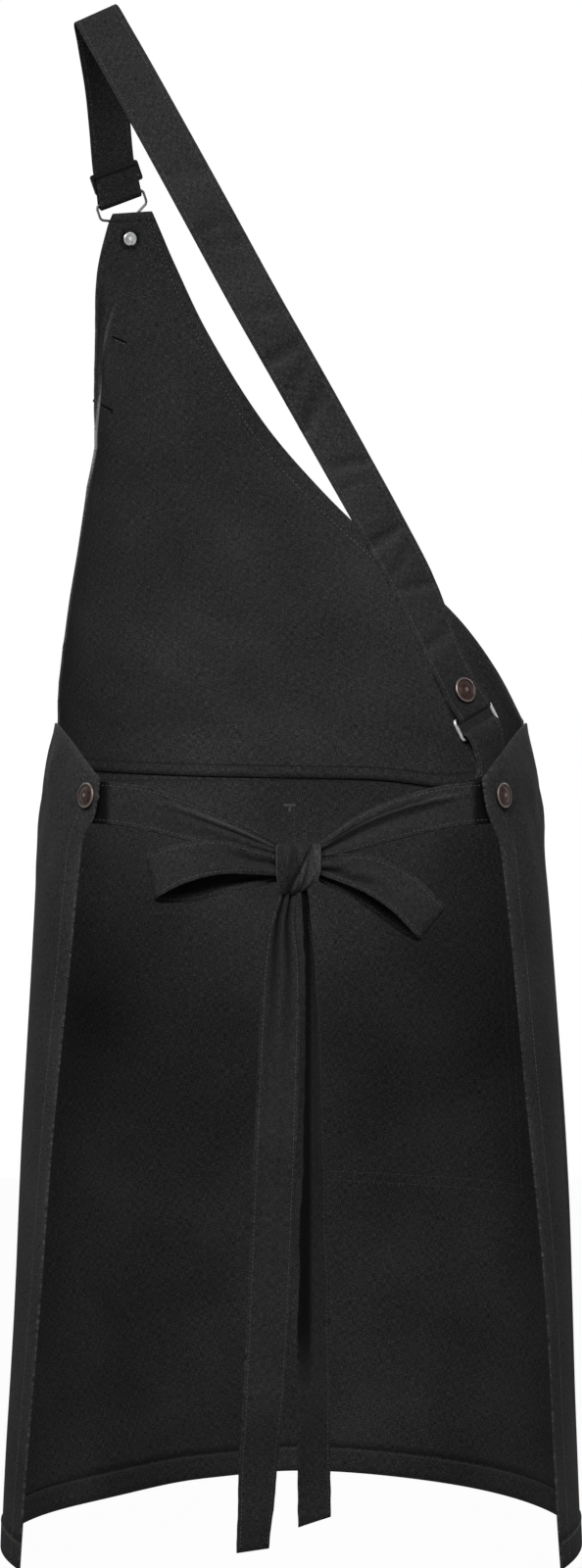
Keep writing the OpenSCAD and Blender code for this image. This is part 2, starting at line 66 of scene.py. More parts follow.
def bell(x, middle, spread):
    return np.exp(-(((x - middle) / spread) ** 2))


def unit(v):
    return v / np.linalg.norm(v, axis=-1, keepdims=True)


# value of column k at height z, on a smooth curve through the rows
def throughRows(rows, z, k):
    rows = np.asarray(rows, float)
    h, v = rows[:, 0], rows[:, k]
    slope = np.gradient(v, h, edge_order=1)
    slope[1:-1] = (v[2:] - v[:-2]) / (h[2:] - h[:-2])
    i = np.clip(np.searchsorted(h, z, side="right") - 1, 0, len(h) - 2)
    d = h[i + 1] - h[i]
    t = (z - h[i]) / d
    start = v[i] * (1 + 2 * t) * (1 - t) ** 2 + slope[i] * d * t * (1 - t) ** 2
    return start + v[i + 1] * t * t * (3 - 2 * t) + slope[i + 1] * d * t * t * (t - 1)


# points at u, from 0 to 1, on a smooth curve through a list of rows
def splineAt(rows, u):
    p = np.asarray(rows, float)
    p = np.vstack([2 * p[0] - p[1], p, 2 * p[-1] - p[-2]])
    n = len(p) - 3
    i = np.minimum(n - 1, np.floor(np.asarray(u) * n).astype(int))
    t = (np.asarray(u) * n - i)[:, None]
    a, b, c, d = p[i], p[i + 1], p[i + 2], p[i + 3]
    return b + (c - a) * t / 2 + (2 * a - 5 * b + 4 * c - d) * t**2 / 2 + (3 * b - a - 3 * c + d) * t**3 / 2


# soft waves that never repeat within the cloth: a few sines of seeded direction and phase
def softWaves(x, y, length, seed, count=7):
    draw = np.random.RandomState(seed)
    total = 0
    for _ in range(count):
        heading, phase, stretch = draw.uniform(0, 2 * np.pi), draw.uniform(0, 2 * np.pi), draw.uniform(0.6, 1.6)
        total = total + np.sin(2 * np.pi * (x * np.cos(heading) + y * np.sin(heading)) / (length * stretch) + phase)
    return total / math.sqrt(count)


# steps of about the given size along a length, with close rows at each place where a hem or seam makes a step
def stepsAlong(length, step, seams=()):
    places = list(np.linspace(0, length, max(2, round(length / step) + 1)))
    for seam in seams:
        places = [p for p in places if abs(p - seam) > 1.6 or p in (0, length)]
        places += [seam + k for k in (-1.4, -0.5, 0, 0.5, 1.4)]
    places = np.unique(np.round(np.clip(places, 0, length), 3))
    return places / length


def nearest(values, want):
    return int(np.argmin(np.abs(values - want)))


# distance run along a path, or along each row of a grid
def runLength(points):
    step = np.linalg.norm(np.diff(points, axis=-2), axis=-1)
    return np.concatenate([np.zeros_like(step[..., :1]), np.cumsum(step, axis=-1)], axis=-1)


# 1 inside a turned hem of this width, falling softly to 0 at its step
def turnedHem(away, width, step=1.2):
    return 1 - ease((away - width + step / 2) / step)


def linkObject(name, mesh):
    piece = bpy.data.objects.new(name, mesh)
    bpy.context.scene.collection.objects.link(piece)
    return piece


def meshObject(name, points, faces, material, flat=None, paintedLightAndWear=None):
    mesh = bpy.data.meshes.new(name)
    mesh.from_pydata((np.asarray(points) * mm).tolist(), [], faces)
    mesh.polygons.foreach_set("use_smooth", [True] * len(mesh.polygons))
    if flat is not None:  # the cloth's own flat coordinates, in metres, for its weave
        layer = mesh.uv_layers.new(name="flat")
        corners = np.zeros(len(mesh.loops), np.int32)
        mesh.loops.foreach_get("vertex_index", corners)
        layer.data.foreach_set("uv", (np.asarray(flat)[corners] * mm).astype(np.float32).ravel())
    if paintedLightAndWear is not None:  # above 0 the cloth is drawn lighter, part wear and part painted highlight; below 0 it gets painted shade, in creases, seams and shadowed gaps
        mesh.attributes.new("paintedLightAndWear", "FLOAT", "POINT").data.foreach_set("value", np.asarray(paintedLightAndWear, np.float32))
    mesh.materials.append(material)
    mesh.update()
    return linkObject(name, mesh)


def gridNormals(grid):
    down = np.gradient(grid, axis=0)
    along = np.gradient(grid, axis=1)
    return unit(np.cross(down, along))


def flatCoords(grid):
    down = np.cumsum(np.r_[0, np.linalg.norm(np.diff(grid, axis=0), axis=2).mean(axis=1)])
    along = runLength(grid)
    along -= along[:, [grid.shape[1] // 2]]
    return np.stack([along, np.repeat(down[:, None], grid.shape[1], axis=1)], axis=-1)


clothEdge = {"round": 0.4, "rub": 0.08}  # bulge as a share of the thickness, least lightening of the rim: part wear, part painted edge highlight


# closed cloth about a grid of points: its two faces stand front and back of the grid, and its edges are rounded
def clothObject(name, grid, front, back, material, paintedLightAndWear=0.0):
    rows, cols = grid.shape[:2]
    normals = gridNormals(grid)
    front, back = np.broadcast_to(front, (rows, cols)), np.broadcast_to(back, (rows, cols))
    top = grid + normals * front[..., None]
    low = grid - normals * back[..., None]
    rim = [(0, j) for j in range(cols)] + [(i, cols - 1) for i in range(1, rows)]
    rim += [(rows - 1, j) for j in range(cols - 2, -1, -1)] + [(i, 0) for i in range(rows - 2, 0, -1)]
    ri, rj = np.array(rim).T
    away = np.zeros((len(rim), 3))
    for k, (i, j) in enumerate(rim):
        if i in (0, rows - 1):
            away[k] += unit(grid[i, j] - grid[1 if i == 0 else rows - 2, j])
        if j in (0, cols - 1):
            away[k] += unit(grid[i, j] - grid[i, 1 if j == 0 else cols - 2])
    middle = (top[ri, rj] + low[ri, rj]) / 2
    thick = np.linalg.norm(top[ri, rj] - low[ri, rj], axis=1)[:, None]
    bulge = middle + unit(away) * thick * clothEdge["round"]
    n = rows * cols
    cell = np.array([(i * cols + j, i * cols + j + 1, (i + 1) * cols + j + 1, (i + 1) * cols + j)
                     for i in range(rows - 1) for j in range(cols - 1)])
    ring = ri * cols + rj
    nextRing = np.roll(ring, -1)
    mid = 2 * n + np.arange(len(rim))
    nextMid = np.roll(mid, -1)
    faces = cell.tolist() + (cell[:, ::-1] + n).tolist()
    faces += np.stack([nextRing, ring, mid, nextMid], 1).tolist()
    faces += np.stack([nextMid, mid, n + ring, n + nextRing], 1).tolist()
    points = np.vstack([top.reshape(-1, 3), low.reshape(-1, 3), bulge])
    flat = flatCoords(grid).reshape(-1, 2)
    paintedLightAndWear = np.broadcast_to(paintedLightAndWear, (rows, cols)).ravel()
    # rims keep their painted shade, and are otherwise at least a little lighter: part wear, part painted edge
    # highlight
    rimEdgeLightAndWear = np.where(paintedLightAndWear[ring] < 0, paintedLightAndWear[ring], np.maximum(paintedLightAndWear[ring], clothEdge["rub"]))
    return meshObject(name, points, faces, material, np.vstack([flat, flat, flat[ring]]), np.r_[paintedLightAndWear, paintedLightAndWear, rimEdgeLightAndWear])


sewing = {  # a stitch and its gap, share of that which shows, half the thread's width
    "pitch": 3.0, "share": 0.72, "radius": 0.3,
    "rings": [  # along the stitch, size, lift: its ends dip into the cloth
        (-1, 0.25, -0.5), (-0.75, 0.8, -0.1), (0, 1, 0.35), (0.75, 0.8, -0.1), (1, 0.25, -0.5)],
}


# one sewn thread: short rounded stitches along a path that lies on a face of the cloth
def stitchRow(path, out, pitch=sewing["pitch"], share=sewing["share"], radius=sewing["radius"]):
    place = runLength(path)
    count = max(1, int(place[-1] / pitch))
    centre = (np.arange(count) + 0.5) * place[-1] / count
    half = pitch * share / 2
    at = lambda s, of: np.stack([np.interp(s, place, of[:, k]) for k in range(3)], -1)
    tangent = unit(at(centre + 0.3, path) - at(centre - 0.3, path))
    side = unit(np.cross(tangent, at(centre, out)))
    normal = np.cross(side, tangent)
    points = []
    for along, size, lift in sewing["rings"]:
        for q in np.arange(5) * 2 * np.pi / 5:
            points.append(at(centre, path) + tangent * along * half
                          + (side * np.cos(q) + normal * np.sin(q)) * radius * size + normal * radius * lift)
    points = np.stack(points, 1)
    cell = [(a + k, a + (k + 1) % 5, a + 5 + (k + 1) % 5, a + 5 + k) for a in (0, 5, 10, 15) for k in range(5)]
    caps = [(4, 3, 2, 1, 0), (20, 21, 22, 23, 24)]
    return points.reshape(-1, 3), [tuple(25 * s + k for k in face) for s in range(count) for face in cell + caps]


def threadObject(name, rows, material):
    points, faces, start = [], [], 0
    for rowPoints, rowFaces in rows:
        points.append(rowPoints)
        faces += [tuple(start + k for k in face) for face in rowFaces]
        start += len(rowPoints)
    return meshObject(name, np.vstack(points), faces, material)


# finishes

def linear(hexColour):
    parts = [int(hexColour[k:k + 2], 16) / 255 for k in (1, 3, 5)]
    return tuple(c / 12.92 if c <= 0.04045 else ((c + 0.055) / 1.055) ** 2.4 for c in parts) + (1.0,)


# adds a node and gives back one of its outputs; an input that is a socket is linked, any other value is set
def addNode(tree, kind, inputs=(), take=0, stops=(), **settings):
    node = tree.nodes.new("ShaderNode" + kind)
    for key, value in settings.items():
        setattr(node, key, value)
    for key, value in dict(inputs).items():
        if isinstance(value, bpy.types.NodeSocket):
            tree.links.new(value, node.inputs[key])
        else:
            node.inputs[key].default_value = value
    for place, (position, colour) in enumerate(stops):  # of a colour ramp
        marks = node.color_ramp.elements
        mark = marks[place] if place < len(marks) else marks.new(1.0)
        mark.position, mark.color = position, linear(colour)
    return node.outputs[take] if node.outputs else None


def emptyTree(owner):
    owner.use_nodes = True
    owner.node_tree.nodes.clear()
    return owner.node_tree


def newFinish(name):
    material = bpy.data.materials.new(name)
    return material, emptyTree(material)


# a finish ends with its looks on the shader, and the shader on the surface
def endFinish(tree, looks):
    addNode(tree, "OutputMaterial", {"Surface": addNode(tree, "BsdfPrincipled", looks)})


clothLook = {
    "yarnMm": 0.34,  # width of an uneven yarn, drawn about twice as coarse as the real one so that it shows
    "slubMm": 4.0,  # length of a thick place in a yarn
    "waleMm": 1.3,  # spacing of the twill's diagonal ribs, drawn coarser than the real 0.7 mm so that it shows
    "mottleMm": 90.0,
    "bumpMm": 0.25,
    "blend": 1.6,  # share of the short yarn ends beside the warp and weft
    "mottleShare": 0.3,
    "toneRange": (1.58, 2.32),
    "wearAndHighlightShare": 0.8,
    "paintedShadeShare": -0.9,
    "paintedShadeColour": "#060606",
    "ribShare": 0.25,
    "roughness": (0.95, 0.82),  # dark yarns, light yarns
    "sheen": {"Specular IOR Level": 0.03, "Sheen Weight": 0.005, "Sheen Roughness": 0.5},
}


# yarn-dyed cotton twill: near black and matt, its uneven yarns give a fine heather; folded edges are drawn lighter,
# part wear and part painted highlight, and creases, seams and shadowed gaps get painted shade
def cottonTwill(name, dark, middle, light, wornAndHighlight):
    look = clothLook
    material, tree = newFinish(name)
    flat = addNode(tree, "UVMap", uv_map="flat")
    inMm = addNode(tree, "VectorMath", {0: flat, "Scale": 1 / mm}, operation="SCALE")
    thin, long = 1 / look["yarnMm"], 1 / look["slubMm"]
    yarns = []
    for scale in ((thin, long, 1), (long, thin, 1), (thin, thin, 1)):
        place = addNode(tree, "VectorMath", {0: inMm, 1: scale}, operation="MULTIPLY")
        yarns.append(addNode(tree, "TexNoise", {"Vector": place, "Scale": 1.0, "Detail": 2.0}))
    weave = addNode(tree, "Math", {0: yarns[0], 1: yarns[1]}, operation="ADD")
    heather = addNode(tree, "Math", {0: yarns[2], 1: look["blend"], 2: weave}, operation="MULTIPLY_ADD")
    mottle = addNode(tree, "TexNoise", {"Vector": inMm, "Scale": 1 / look["mottleMm"], "Detail": 2.0})
    mottled = addNode(tree, "Math", {0: mottle, 1: look["mottleShare"], 2: heather}, operation="MULTIPLY_ADD")
    low, high = look["toneRange"]
    tone = addNode(tree, "MapRange", {"Value": mottled, "From Min": low, "From Max": high})
    colour = addNode(tree, "ValToRGB", {"Fac": tone}, stops=[(0.0, dark), (0.5, middle), (1.0, light)])
    # above 0 the attribute mixes towards the lighter colour, for wear and painted highlights; below 0 towards the
    # painted shade colour
    paintedLightAndWear = addNode(tree, "Attribute", take="Fac", attribute_name="paintedLightAndWear")
    highlightAndWear = addNode(tree, "Math", {0: paintedLightAndWear, 1: 0.0}, operation="MAXIMUM")
    caught = addNode(tree, "Math", {0: tone, 1: look["wearAndHighlightShare"]}, operation="MULTIPLY")
    rubbed = addNode(tree, "Math", {0: highlightAndWear, 1: caught}, operation="MULTIPLY")
    paintedShadeAmount = addNode(tree, "Math", {0: paintedLightAndWear, 1: 0.0}, operation="MINIMUM")
    paintedShade = addNode(tree, "Math", {0: paintedShadeAmount, 1: look["paintedShadeShare"]}, operation="MULTIPLY")
    for share, over in ((rubbed, wornAndHighlight), (paintedShade, look["paintedShadeColour"])):
        colour = addNode(tree, "Mix", {0: share, 6: colour, 7: linear(over)}, 2, data_type="RGBA")
    matt, smooth = look["roughness"]
    rough = addNode(tree, "MapRange", {"Value": tone, "To Min": matt, "To Max": smooth})
    slant = addNode(tree, "VectorMath", {0: inMm, 1: (1, 1, 0)}, "Value", operation="DOT_PRODUCT")
    turns = addNode(tree, "Math", {0: slant, 1: math.sqrt(2) * math.pi / look["waleMm"]}, operation="MULTIPLY")
    rib = addNode(tree, "Math", {0: turns}, operation="SINE")
    height = addNode(tree, "Math", {0: rib, 1: look["ribShare"], 2: heather}, operation="MULTIPLY_ADD")
    bump = addNode(tree, "Bump", {"Strength": 0.6, "Distance": look["bumpMm"] * mm, "Height": height})
    endFinish(tree, {"Base Color": colour, "Roughness": rough, "Normal": bump, **look["sheen"]})
    return material


# spun polyester thread: twisted, so each stitch shows a little light and dark along it
def polyesterThread(name, dark, light, shine=0.3):
    material, tree = newFinish(name)
    place = addNode(tree, "TexCoord", take="Object")
    plyMm = 1.2  # one turn of the twist
    ply = addNode(tree, "TexNoise", {"Vector": place, "Scale": 1 / (plyMm * mm), "Detail": 1.0})
    colour = addNode(tree, "ValToRGB", {"Fac": ply}, stops=[(0.3, dark), (0.7, light)])
    rough = addNode(tree, "MapRange", {"Value": ply, "To Min": 0.75, "To Max": 0.5})
    endFinish(tree, {"Base Color": colour, "Roughness": rough, "Specular IOR Level": shine})
    return material


# plated or toned metal: patches of tone, fine scuffs in its polish, and brighter metal where raised edges rub
def workedMetal(name, dark, light, rubbed, grainMm, roughLow, roughHigh):
    material, tree = newFinish(name)
    place = addNode(tree, "TexCoord", take="Object")
    patch = addNode(tree, "TexNoise", {"Vector": place, "Scale": 1 / (grainMm * mm), "Detail": 4.0})
    colour = addNode(tree, "ValToRGB", {"Fac": patch}, stops=[(0.3, dark), (0.72, light)])
    raised = addNode(tree, "NewGeometry", take="Pointiness")
    rub = addNode(tree, "MapRange", {"Value": raised, "From Min": 0.52, "From Max": 0.6})
    colour = addNode(tree, "Mix", {0: rub, 6: colour, 7: linear(rubbed)}, 2, data_type="RGBA")
    scuff = addNode(tree, "TexNoise", {"Vector": place, "Scale": 4 / (grainMm * mm), "Detail": 5.0})
    rough = addNode(tree, "MapRange", {"Value": scuff, "To Min": roughLow, "To Max": roughHigh})
    bump = addNode(tree, "Bump", {"Strength": 0.15, "Distance": 0.05 * mm, "Height": scuff})
    endFinish(tree, {"Base Color": colour, "Roughness": rough, "Normal": bump, "Metallic": 1.0})
    return material


# baked black lacquer on steel: dark and even, a soft gloss broken by fine orange peel
def blackLacquer(name, dark, light):
    material, tree = newFinish(name)
    place = addNode(tree, "TexCoord", take="Object")
    peelMm = 0.8
    peel = addNode(tree, "TexNoise", {"Vector": place, "Scale": 1 / (peelMm * mm), "Detail": 2.0})
    colour = addNode(tree, "ValToRGB", {"Fac": peel}, stops=[(0.35, dark), (0.7, light)])
    rough = addNode(tree, "MapRange", {"Value": peel, "To Min": 0.3, "To Max": 0.5})
    bump = addNode(tree, "Bump", {"Strength": 0.1, "Distance": 0.05 * mm, "Height": peel})
    gloss = {"Specular IOR Level": 0.12, "Coat Weight": 0.04, "Coat Roughness": 0.15}
    endFinish(tree, {"Base Color": colour, "Roughness": rough, "Normal": bump, **gloss})
    return material


panelCloth = cottonTwill("panelCottonTwill", "#0f0f0f", "#272727", "#4e4e4e", "#7c7c7c")
# the tapes use a slightly darker copy of the panel's twill: the darkening is painted shade
shadedTapeCloth = cottonTwill("tapeCottonTwill", "#0d0d0d", "#222222", "#404040", "#6a6a6a")
thread = polyesterThread("blackPolyesterThread", "#1c1c1c", "#444444")
tackThread = polyesterThread("bartackThread", "#040404", "#0e0e0e", 0.03)
hemThread = polyesterThread("hemThread", "#0a0a0a", "#2c2c2c", 0.1)
greyThread = polyesterThread("greyPolyesterThread", "#2c2c2c", "#5c5c5c")
bronze = workedMetal("antiqueBronze", "#231a18", "#3f322f", "#7a706b", 2.5, 0.3, 0.5)
nickel = workedMetal("nickelPlate", "#8f9091", "#b2b3b4", "#d6d7d8", 2.0, 0.2, 0.36)
darkNickel = workedMetal("tumbledNickel", "#3c3c3d", "#5c5c5d", "#8c8c8d", 2.0, 0.3, 0.45)
lacquer = blackLacquer("blackLacquer", "#050505", "#0c0c0c")
print("finishes made")


# stage: white round the object, pale floor, soft lamps

studio = {
    "cameraBack": 2.2,  # metres behind the waist, level with it
    "focalPixels": 3143,
    "imagePixels": (594, 1600),
    "floorHeight": -1.05,  # as far below a waist as on a standing wearer
    "floorHalf": 6.0,
    "floorColour": "#8c8c8c",
    "floorWhite": 0.975,  # the rest of what the camera sees there is the floor's own shade
    "ambient": 0.11,
    "lamps": {  # place, width and height, watts
        "softboxFront": ((0.0, -2.3, 1.4), (2.4, 0.9), 96),
        "softboxTop": ((0.0, -1.4, 2.2), (1.4, 1.4), 2),
        "softboxFar": ((0.1, 2.5, 0.9), (3.0, 0.9), 50),
        "rimLeft": ((-0.55, 0.05, 0.45), (0.25, 0.25), 0.7),
    },
}


# 1 for what the camera sees, straight or by way of a gloss, and 0 for light that falls on the object
def seenDirectly(tree):
    seen = 0.0
    for ray in ("Is Camera Ray", "Is Glossy Ray", "Is Transmission Ray"):
        seen = addNode(tree, "Math", {0: seen, 1: addNode(tree, "LightPath", take=ray)}, operation="MAXIMUM")
    return seen


def makeStage():
    scene = bpy.context.scene
    scene.view_settings.view_transform = "Standard"
    camera = bpy.data.cameras.new("camera")
    camera.lens = camera.sensor_width * studio["focalPixels"] / max(studio["imagePixels"])
    holder = linkObject("camera", camera)
    holder.location = (0, -studio["cameraBack"], 0)
    holder.rotation_euler = (math.pi / 2, 0, 0)
    scene.camera = holder
    world = bpy.data.worlds.new("studio")
    scene.world = world
    tree = emptyTree(world)
    plain = linear("#ffffff")
    dim, white = (addNode(tree, "Background", {"Color": plain, "Strength": strength})
                  for strength in (studio["ambient"], 1.0))
    shown = addNode(tree, "MixShader", {0: seenDirectly(tree), 1: dim, 2: white})
    addNode(tree, "OutputWorld", {"Surface": shown})
    for name, (place, size, watts) in studio["lamps"].items():
        lamp = bpy.data.lights.new(name, "AREA")
        lamp.shape = "RECTANGLE"
        lamp.size, lamp.size_y = size
        lamp.energy = watts
        light = linkObject(name, lamp)
        light.location = place
        light.visible_camera = False
        light.rotation_euler = (-light.location).to_track_quat("-Z", "Y").to_euler()
    material, tree = newFinish("paleFloor")
    matt = addNode(tree, "BsdfDiffuse", {"Color": linear(studio["floorColour"])})
    glow = addNode(tree, "Emission", {"Color": plain, "Strength": 1.0})
    share = addNode(tree, "Math", {0: seenDirectly(tree), 1: studio["floorWhite"]}, operation="MULTIPLY")
    addNode(tree, "OutputMaterial", {"Surface": addNode(tree, "MixShader", {0: share, 1: matt, 2: glow})})
    half, low = studio["floorHalf"] / mm, studio["floorHeight"] / mm
    floor = meshObject("floor", [(-half, -half, low), (half, -half, low), (half, half, low), (-half, half, low)],
                       [(0, 1, 2, 3)], material)


makeStage()
print("stage set")


# shape that the apron is worn on

wearer = {
    "waistHalf": 176, "hemHalf": 203, "drop": 533,
    "foldDepth": 26, "foldAngle": -47, "foldSpread": 26,
    "swell": 4, "swellAngle": 85, "swellSpread": 40, "swellHeight": -290, "swellReach": 150,
}
waist, drop = wearer["waistHalf"], wearer["drop"]
bodyStations = [  # height, half width, centre, front depth, back depth
    (-drop, wearer["hemHalf"], -20, 213, 213),
    (-drop * 0.45, mix(waist, wearer["hemHalf"], 0.52), -12, 171, 192),
    (0, waist, -5, 130, 170),
    (43, waist - 8.5, -3, 131, 165),
    (128, waist - 13, 5, 126, 160),
    (221, waist - 22, 14, 113, 150),
    (335, waist - 17, 20, 84, 150),
    (421, waist - 6, 21, 58, 150),
]


def bodyRaw(angle, z):
    w = wearer
    angle, z = np.broadcast_arrays(np.asarray(angle, float), np.asarray(z, float))
    inward = w["foldDepth"] * bell(angle, w["foldAngle"], w["foldSpread"]) * np.maximum(0, -z / drop) ** 2
    inward = inward - (w["swell"] * bell(angle, w["swellAngle"], w["swellSpread"])
                       * bell(z, w["swellHeight"], w["swellReach"]))
    wide = throughRows(bodyStations, z, 1) - inward
    front, back = throughRows(bodyStations, z, 3), throughRows(bodyStations, z, 4)
    deep = np.where(np.abs(angle) > 90, back, front) - inward
    q = np.radians(angle)
    return np.stack([wide * np.sin(q), throughRows(bodyStations, z, 2) + deep * np.cos(q), z], axis=-1)


def bodyAcross(angle, z):
    return unit(bodyRaw(np.add(angle, 0.5), z) - bodyRaw(np.subtract(angle, 0.5), z))


def bodyUpward(angle, z):
    return unit(bodyRaw(angle, np.add(z, 1)) - bodyRaw(angle, np.subtract(z, 1)))


def bodyNormal(angle, z):
    return unit(np.cross(bodyUpward(angle, z), bodyAcross(angle, z)))


def bodyPoint(angle, z, out=0):
    return bodyRaw(angle, z) + bodyNormal(angle, z) * np.asarray(out)[..., None]


def angleAt(x, z):
    return np.degrees(np.arcsin(np.clip(x / throughRows(bodyStations, z, 1), -0.9995, 0.9995)))


# middle of a piece of hardware in the frame, in millimetres
def nodeMiddle(node):
    part = frame["nodes"][node]
    return np.mean([part.matrix_world @ v.co for v in part.data.vertices], axis=0) / mm


def dressPiece(piece, body, node):
    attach(piece, body)
    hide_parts(node)


def rideThread(piece, body):
    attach(piece, body)


# skirt: wrapped round the hips, turned hems inside, back flaps with pointed lugs at the ties

skirt = {
    "cloth": 1.0, "frontRise": 18, "sideRise": 43, "sideAngle": 92, "flapAngle": 132.5, "flapAngleHem": 114.7,
    "riseAngle": 55, "meanRadius": 187, "meanAngle": 123, "meanRise": 30,
    "lug": 4.1, "lugHeight": -45, "lugReach": 30, "lugRise": 3,
    "hem": 19, "sideHem": 17, "topHem": 15, "turned": 0.9, "lapped": 0.5, "edgeStitch": 3.0,
    "wave": (1.9, 150, 75),  # depth, length, spread in degrees
    "foldLine": (5.0, -22, 9, 0.072, -430, 150),  # depth, angle, spread, slant, height, reach
    "ripple": (2.2, 5.2, 30),  # depth, waves per full turn, start
    "flapWave": (0.9, 120), "flapPucker": (1.0, 46, -8, 55),  # depth, length; depth, length, height, reach
    "pocketPull": (3.4, 99, 2.6, -130, -470),  # depth, angle, spread, top, end
    "flat": (0.83, 0.58), "area": 0.43,
}


def skirtTop(angle):
    q, s = np.abs(angle), skirt
    rise = mix(s["frontRise"], s["sideRise"], ease((q - s["riseAngle"]) / (s["sideAngle"] - s["riseAngle"])))
    past = np.maximum(0, (q - s["sideAngle"]) / (s["flapAngle"] - s["sideAngle"]))
    return np.where(q < s["sideAngle"], rise, mix(s["sideRise"], s["lugRise"], past**2.2))


def flapReach(z):
    s, t = skirt, np.clip(-z / drop, 0, 1)
    lug = s["lug"] * ease((z - s["lugHeight"]) / s["lugReach"])
    return mix(s["flapAngle"] - s["lug"], s["flapAngleHem"], t) + lug


# soft hang of the cloth, out from the wearer's shape
def skirtHang(angle, z):
    s, low = skirt, np.clip(-z / drop, 0, 1)
    fall = ease((20 - z) / 130)
    across = angle * 3.3  # millimetres round the waist
    deep, length, spread = s["wave"]
    front = bell(angle, 0, spread)
    hang = deep * fall * softWaves(across, z * 0.16, length, 11) * front
    deep, place, spread, slant, height, reach = s["foldLine"]
    hang = hang - deep * bell(angle + slant * (z - height), place, spread) * bell(z, height, reach) * front
    deep, turns, start = s["ripple"]
    hang = hang + deep * np.sin(np.radians(angle * turns + start)) * low**2 * front
    flap = ease((np.abs(angle) - 78) / 16)
    deep, length = s["flapWave"]
    hang = hang + flap * deep * softWaves(across, z * 0.4, length, 5) * fall
    deep, length, height, reach = s["flapPucker"]
    hang = hang + flap * deep * softWaves(across, z, length, 9) * bell(z, height, reach)
    deep, place, spread, top, end = s["pocketPull"]
    hang = hang - deep * bell(angle, place, spread) * ease((top - z) / 80) * ease((z - end) / 60)
    return hang * ease((np.abs(z - skirtTop(angle)) + 4) / 24)


def makeSkirt():
    s = skirt
    tall = drop + s["meanRise"]
    v = stepsAlong(tall, 6.5, (s["topHem"], tall - s["hem"]))
    arc = 2 * math.radians(s["meanAngle"]) * s["meanRadius"]
    u = stepsAlong(arc, 6.0, (s["sideHem"], arc - s["sideHem"])) * 2 - 1
    side, down = np.meshgrid(u, v)
    z = mix(skirtTop(side * s["flapAngle"]), -drop, down)
    angle = side * flapReach(z)
    grid = bodyPoint(angle, z, skirtHang(angle, z))
    fromEnd = (1 - np.abs(side)) * arc / 2
    fromHem = z + drop
    fromTop = skirtTop(side * s["flapAngle"]) - z
    turnedIn = np.maximum(turnedHem(fromHem, s["hem"]), turnedHem(fromEnd, s["sideHem"]))
    outer = s["cloth"] / 2 + s["lapped"] * turnedHem(fromTop, s["topHem"])
    inner = s["cloth"] / 2 + s["turned"] * turnedIn
    # painted shadow line just above the turned hem's edge, and a faint lighter line at the fold, part wear and part
    # painted highlight
    paintedLightAndWear = 0.12 * bell(fromHem, s["hem"] - 1, 1.2) - 0.8 * bell(fromHem, s["hem"] + 0.6, 0.8)
    piece = clothObject("skirt", grid, outer, inner, panelCloth, paintedLightAndWear)
    dressPiece(piece, "apron", "skirt_panel")
    normals = gridNormals(grid)
    outerFace, innerFace = grid + normals * outer[..., None], grid - normals * inner[..., None]
    hemRow = nearest(v, 1 - (s["hem"] - 2.2) / tall)
    sideCols = [nearest(u, side * (1 - 2 * (s["sideHem"] - 2) / arc)) for side in (-1, 1)]
    topRow = nearest(v, s["edgeStitch"] / tall)
    rows = [stitchRow(innerFace[hemRow], -normals[hemRow]), stitchRow(outerFace[hemRow], normals[hemRow])]
    for col in sideCols:
        rows.append(stitchRow(outerFace[:, col], normals[:, col], radius=0.2))
        rows.append(stitchRow(innerFace[:, col], -normals[:, col]))
    rows.append(stitchRow(outerFace[topRow], normals[topRow]))
    sewn = threadObject("skirtStitching", rows, thread)
    rideThread(sewn, "apron")


# point of the skirt's cloth, with its hang, at an angle and height
def skirtPoint(angle, z, out=0):
    return bodyPoint(angle, z, skirtHang(angle, z) + out)


makeSkirt()
print("skirt made")


# bib: sweeps from both hips to one shoulder, its armhole edge rolls in, its lower hem hangs inside the skirt

bib = {
    "cloth": 1.0, "inset": 2.2, "hem": 9.0, "topHem": 7.0, "lowHem": 10.0, "turned": 0.7,
    "rollDepth": 5, "rollHeight": 300, "rollReach": 48, "rollShare": 0.16, "hemRise": 7, "levelHeight": 65,
    "hemTilt": 4, "dip": 6.5, "dipAngle": 42, "dipSpread": 14, "tipDrop": 3.5, "tipReach": 50,
    "stitchIn": 1.6,  # how far the thread lies inside a hem's folded edge
    "lowStitch": 8.4, "neckStitch": (4.5, 14.5), "neckSpread": 0.06, "strapCross": 118,
    "neckThread": (3.4, 0.6, 0.38),  # pitch, share, radius
    "wave": (1.2, 190),  # depth, length
    "sweep": (2.6, -25, 26, 0.55, 150, 110),  # depth, place, spread, slant, height, reach
    "fold": (1.6, 285, 45),  # depth, height, reach
    "flat": (0.43, 0.43), "area": 0.1,
    "armholeIn": [  # height, how far the edge waves in towards the wearer
        (5, 0), (43, -0.8), (58, -2.4), (73, -2.7), (88, -1.6), (103, -0.6), (130, -0.8), (160, -0.8), (190, -0.6),
        (216, -0.4), (230, 1.3), (245, 2.9), (259, 1.4), (273, -1.0), (287, -2.0), (302, -1.7), (316, -0.1),
        (331, 1.6), (345, 2.0), (360, 0.9), (375, 0), (421, 0)],
    "outline": [  # height, armhole edge, neck edge
        (5, -waist, waist), (43, 8.2 - waist, waist - 8.2), (86, -165.5, 149), (128, -161.5, 120),
        (175, -155, 70.5), (221, -150, 23.5), (271, -147.5, -20.5), (335, -147, -62), (385, -140.5, -87),
        (412, -135, -99), (421, -131.5, -103)],
}


def bibEdges(z):
    return [angleAt(throughRows(bib["outline"], z, k), z) for k in (1, 2)]


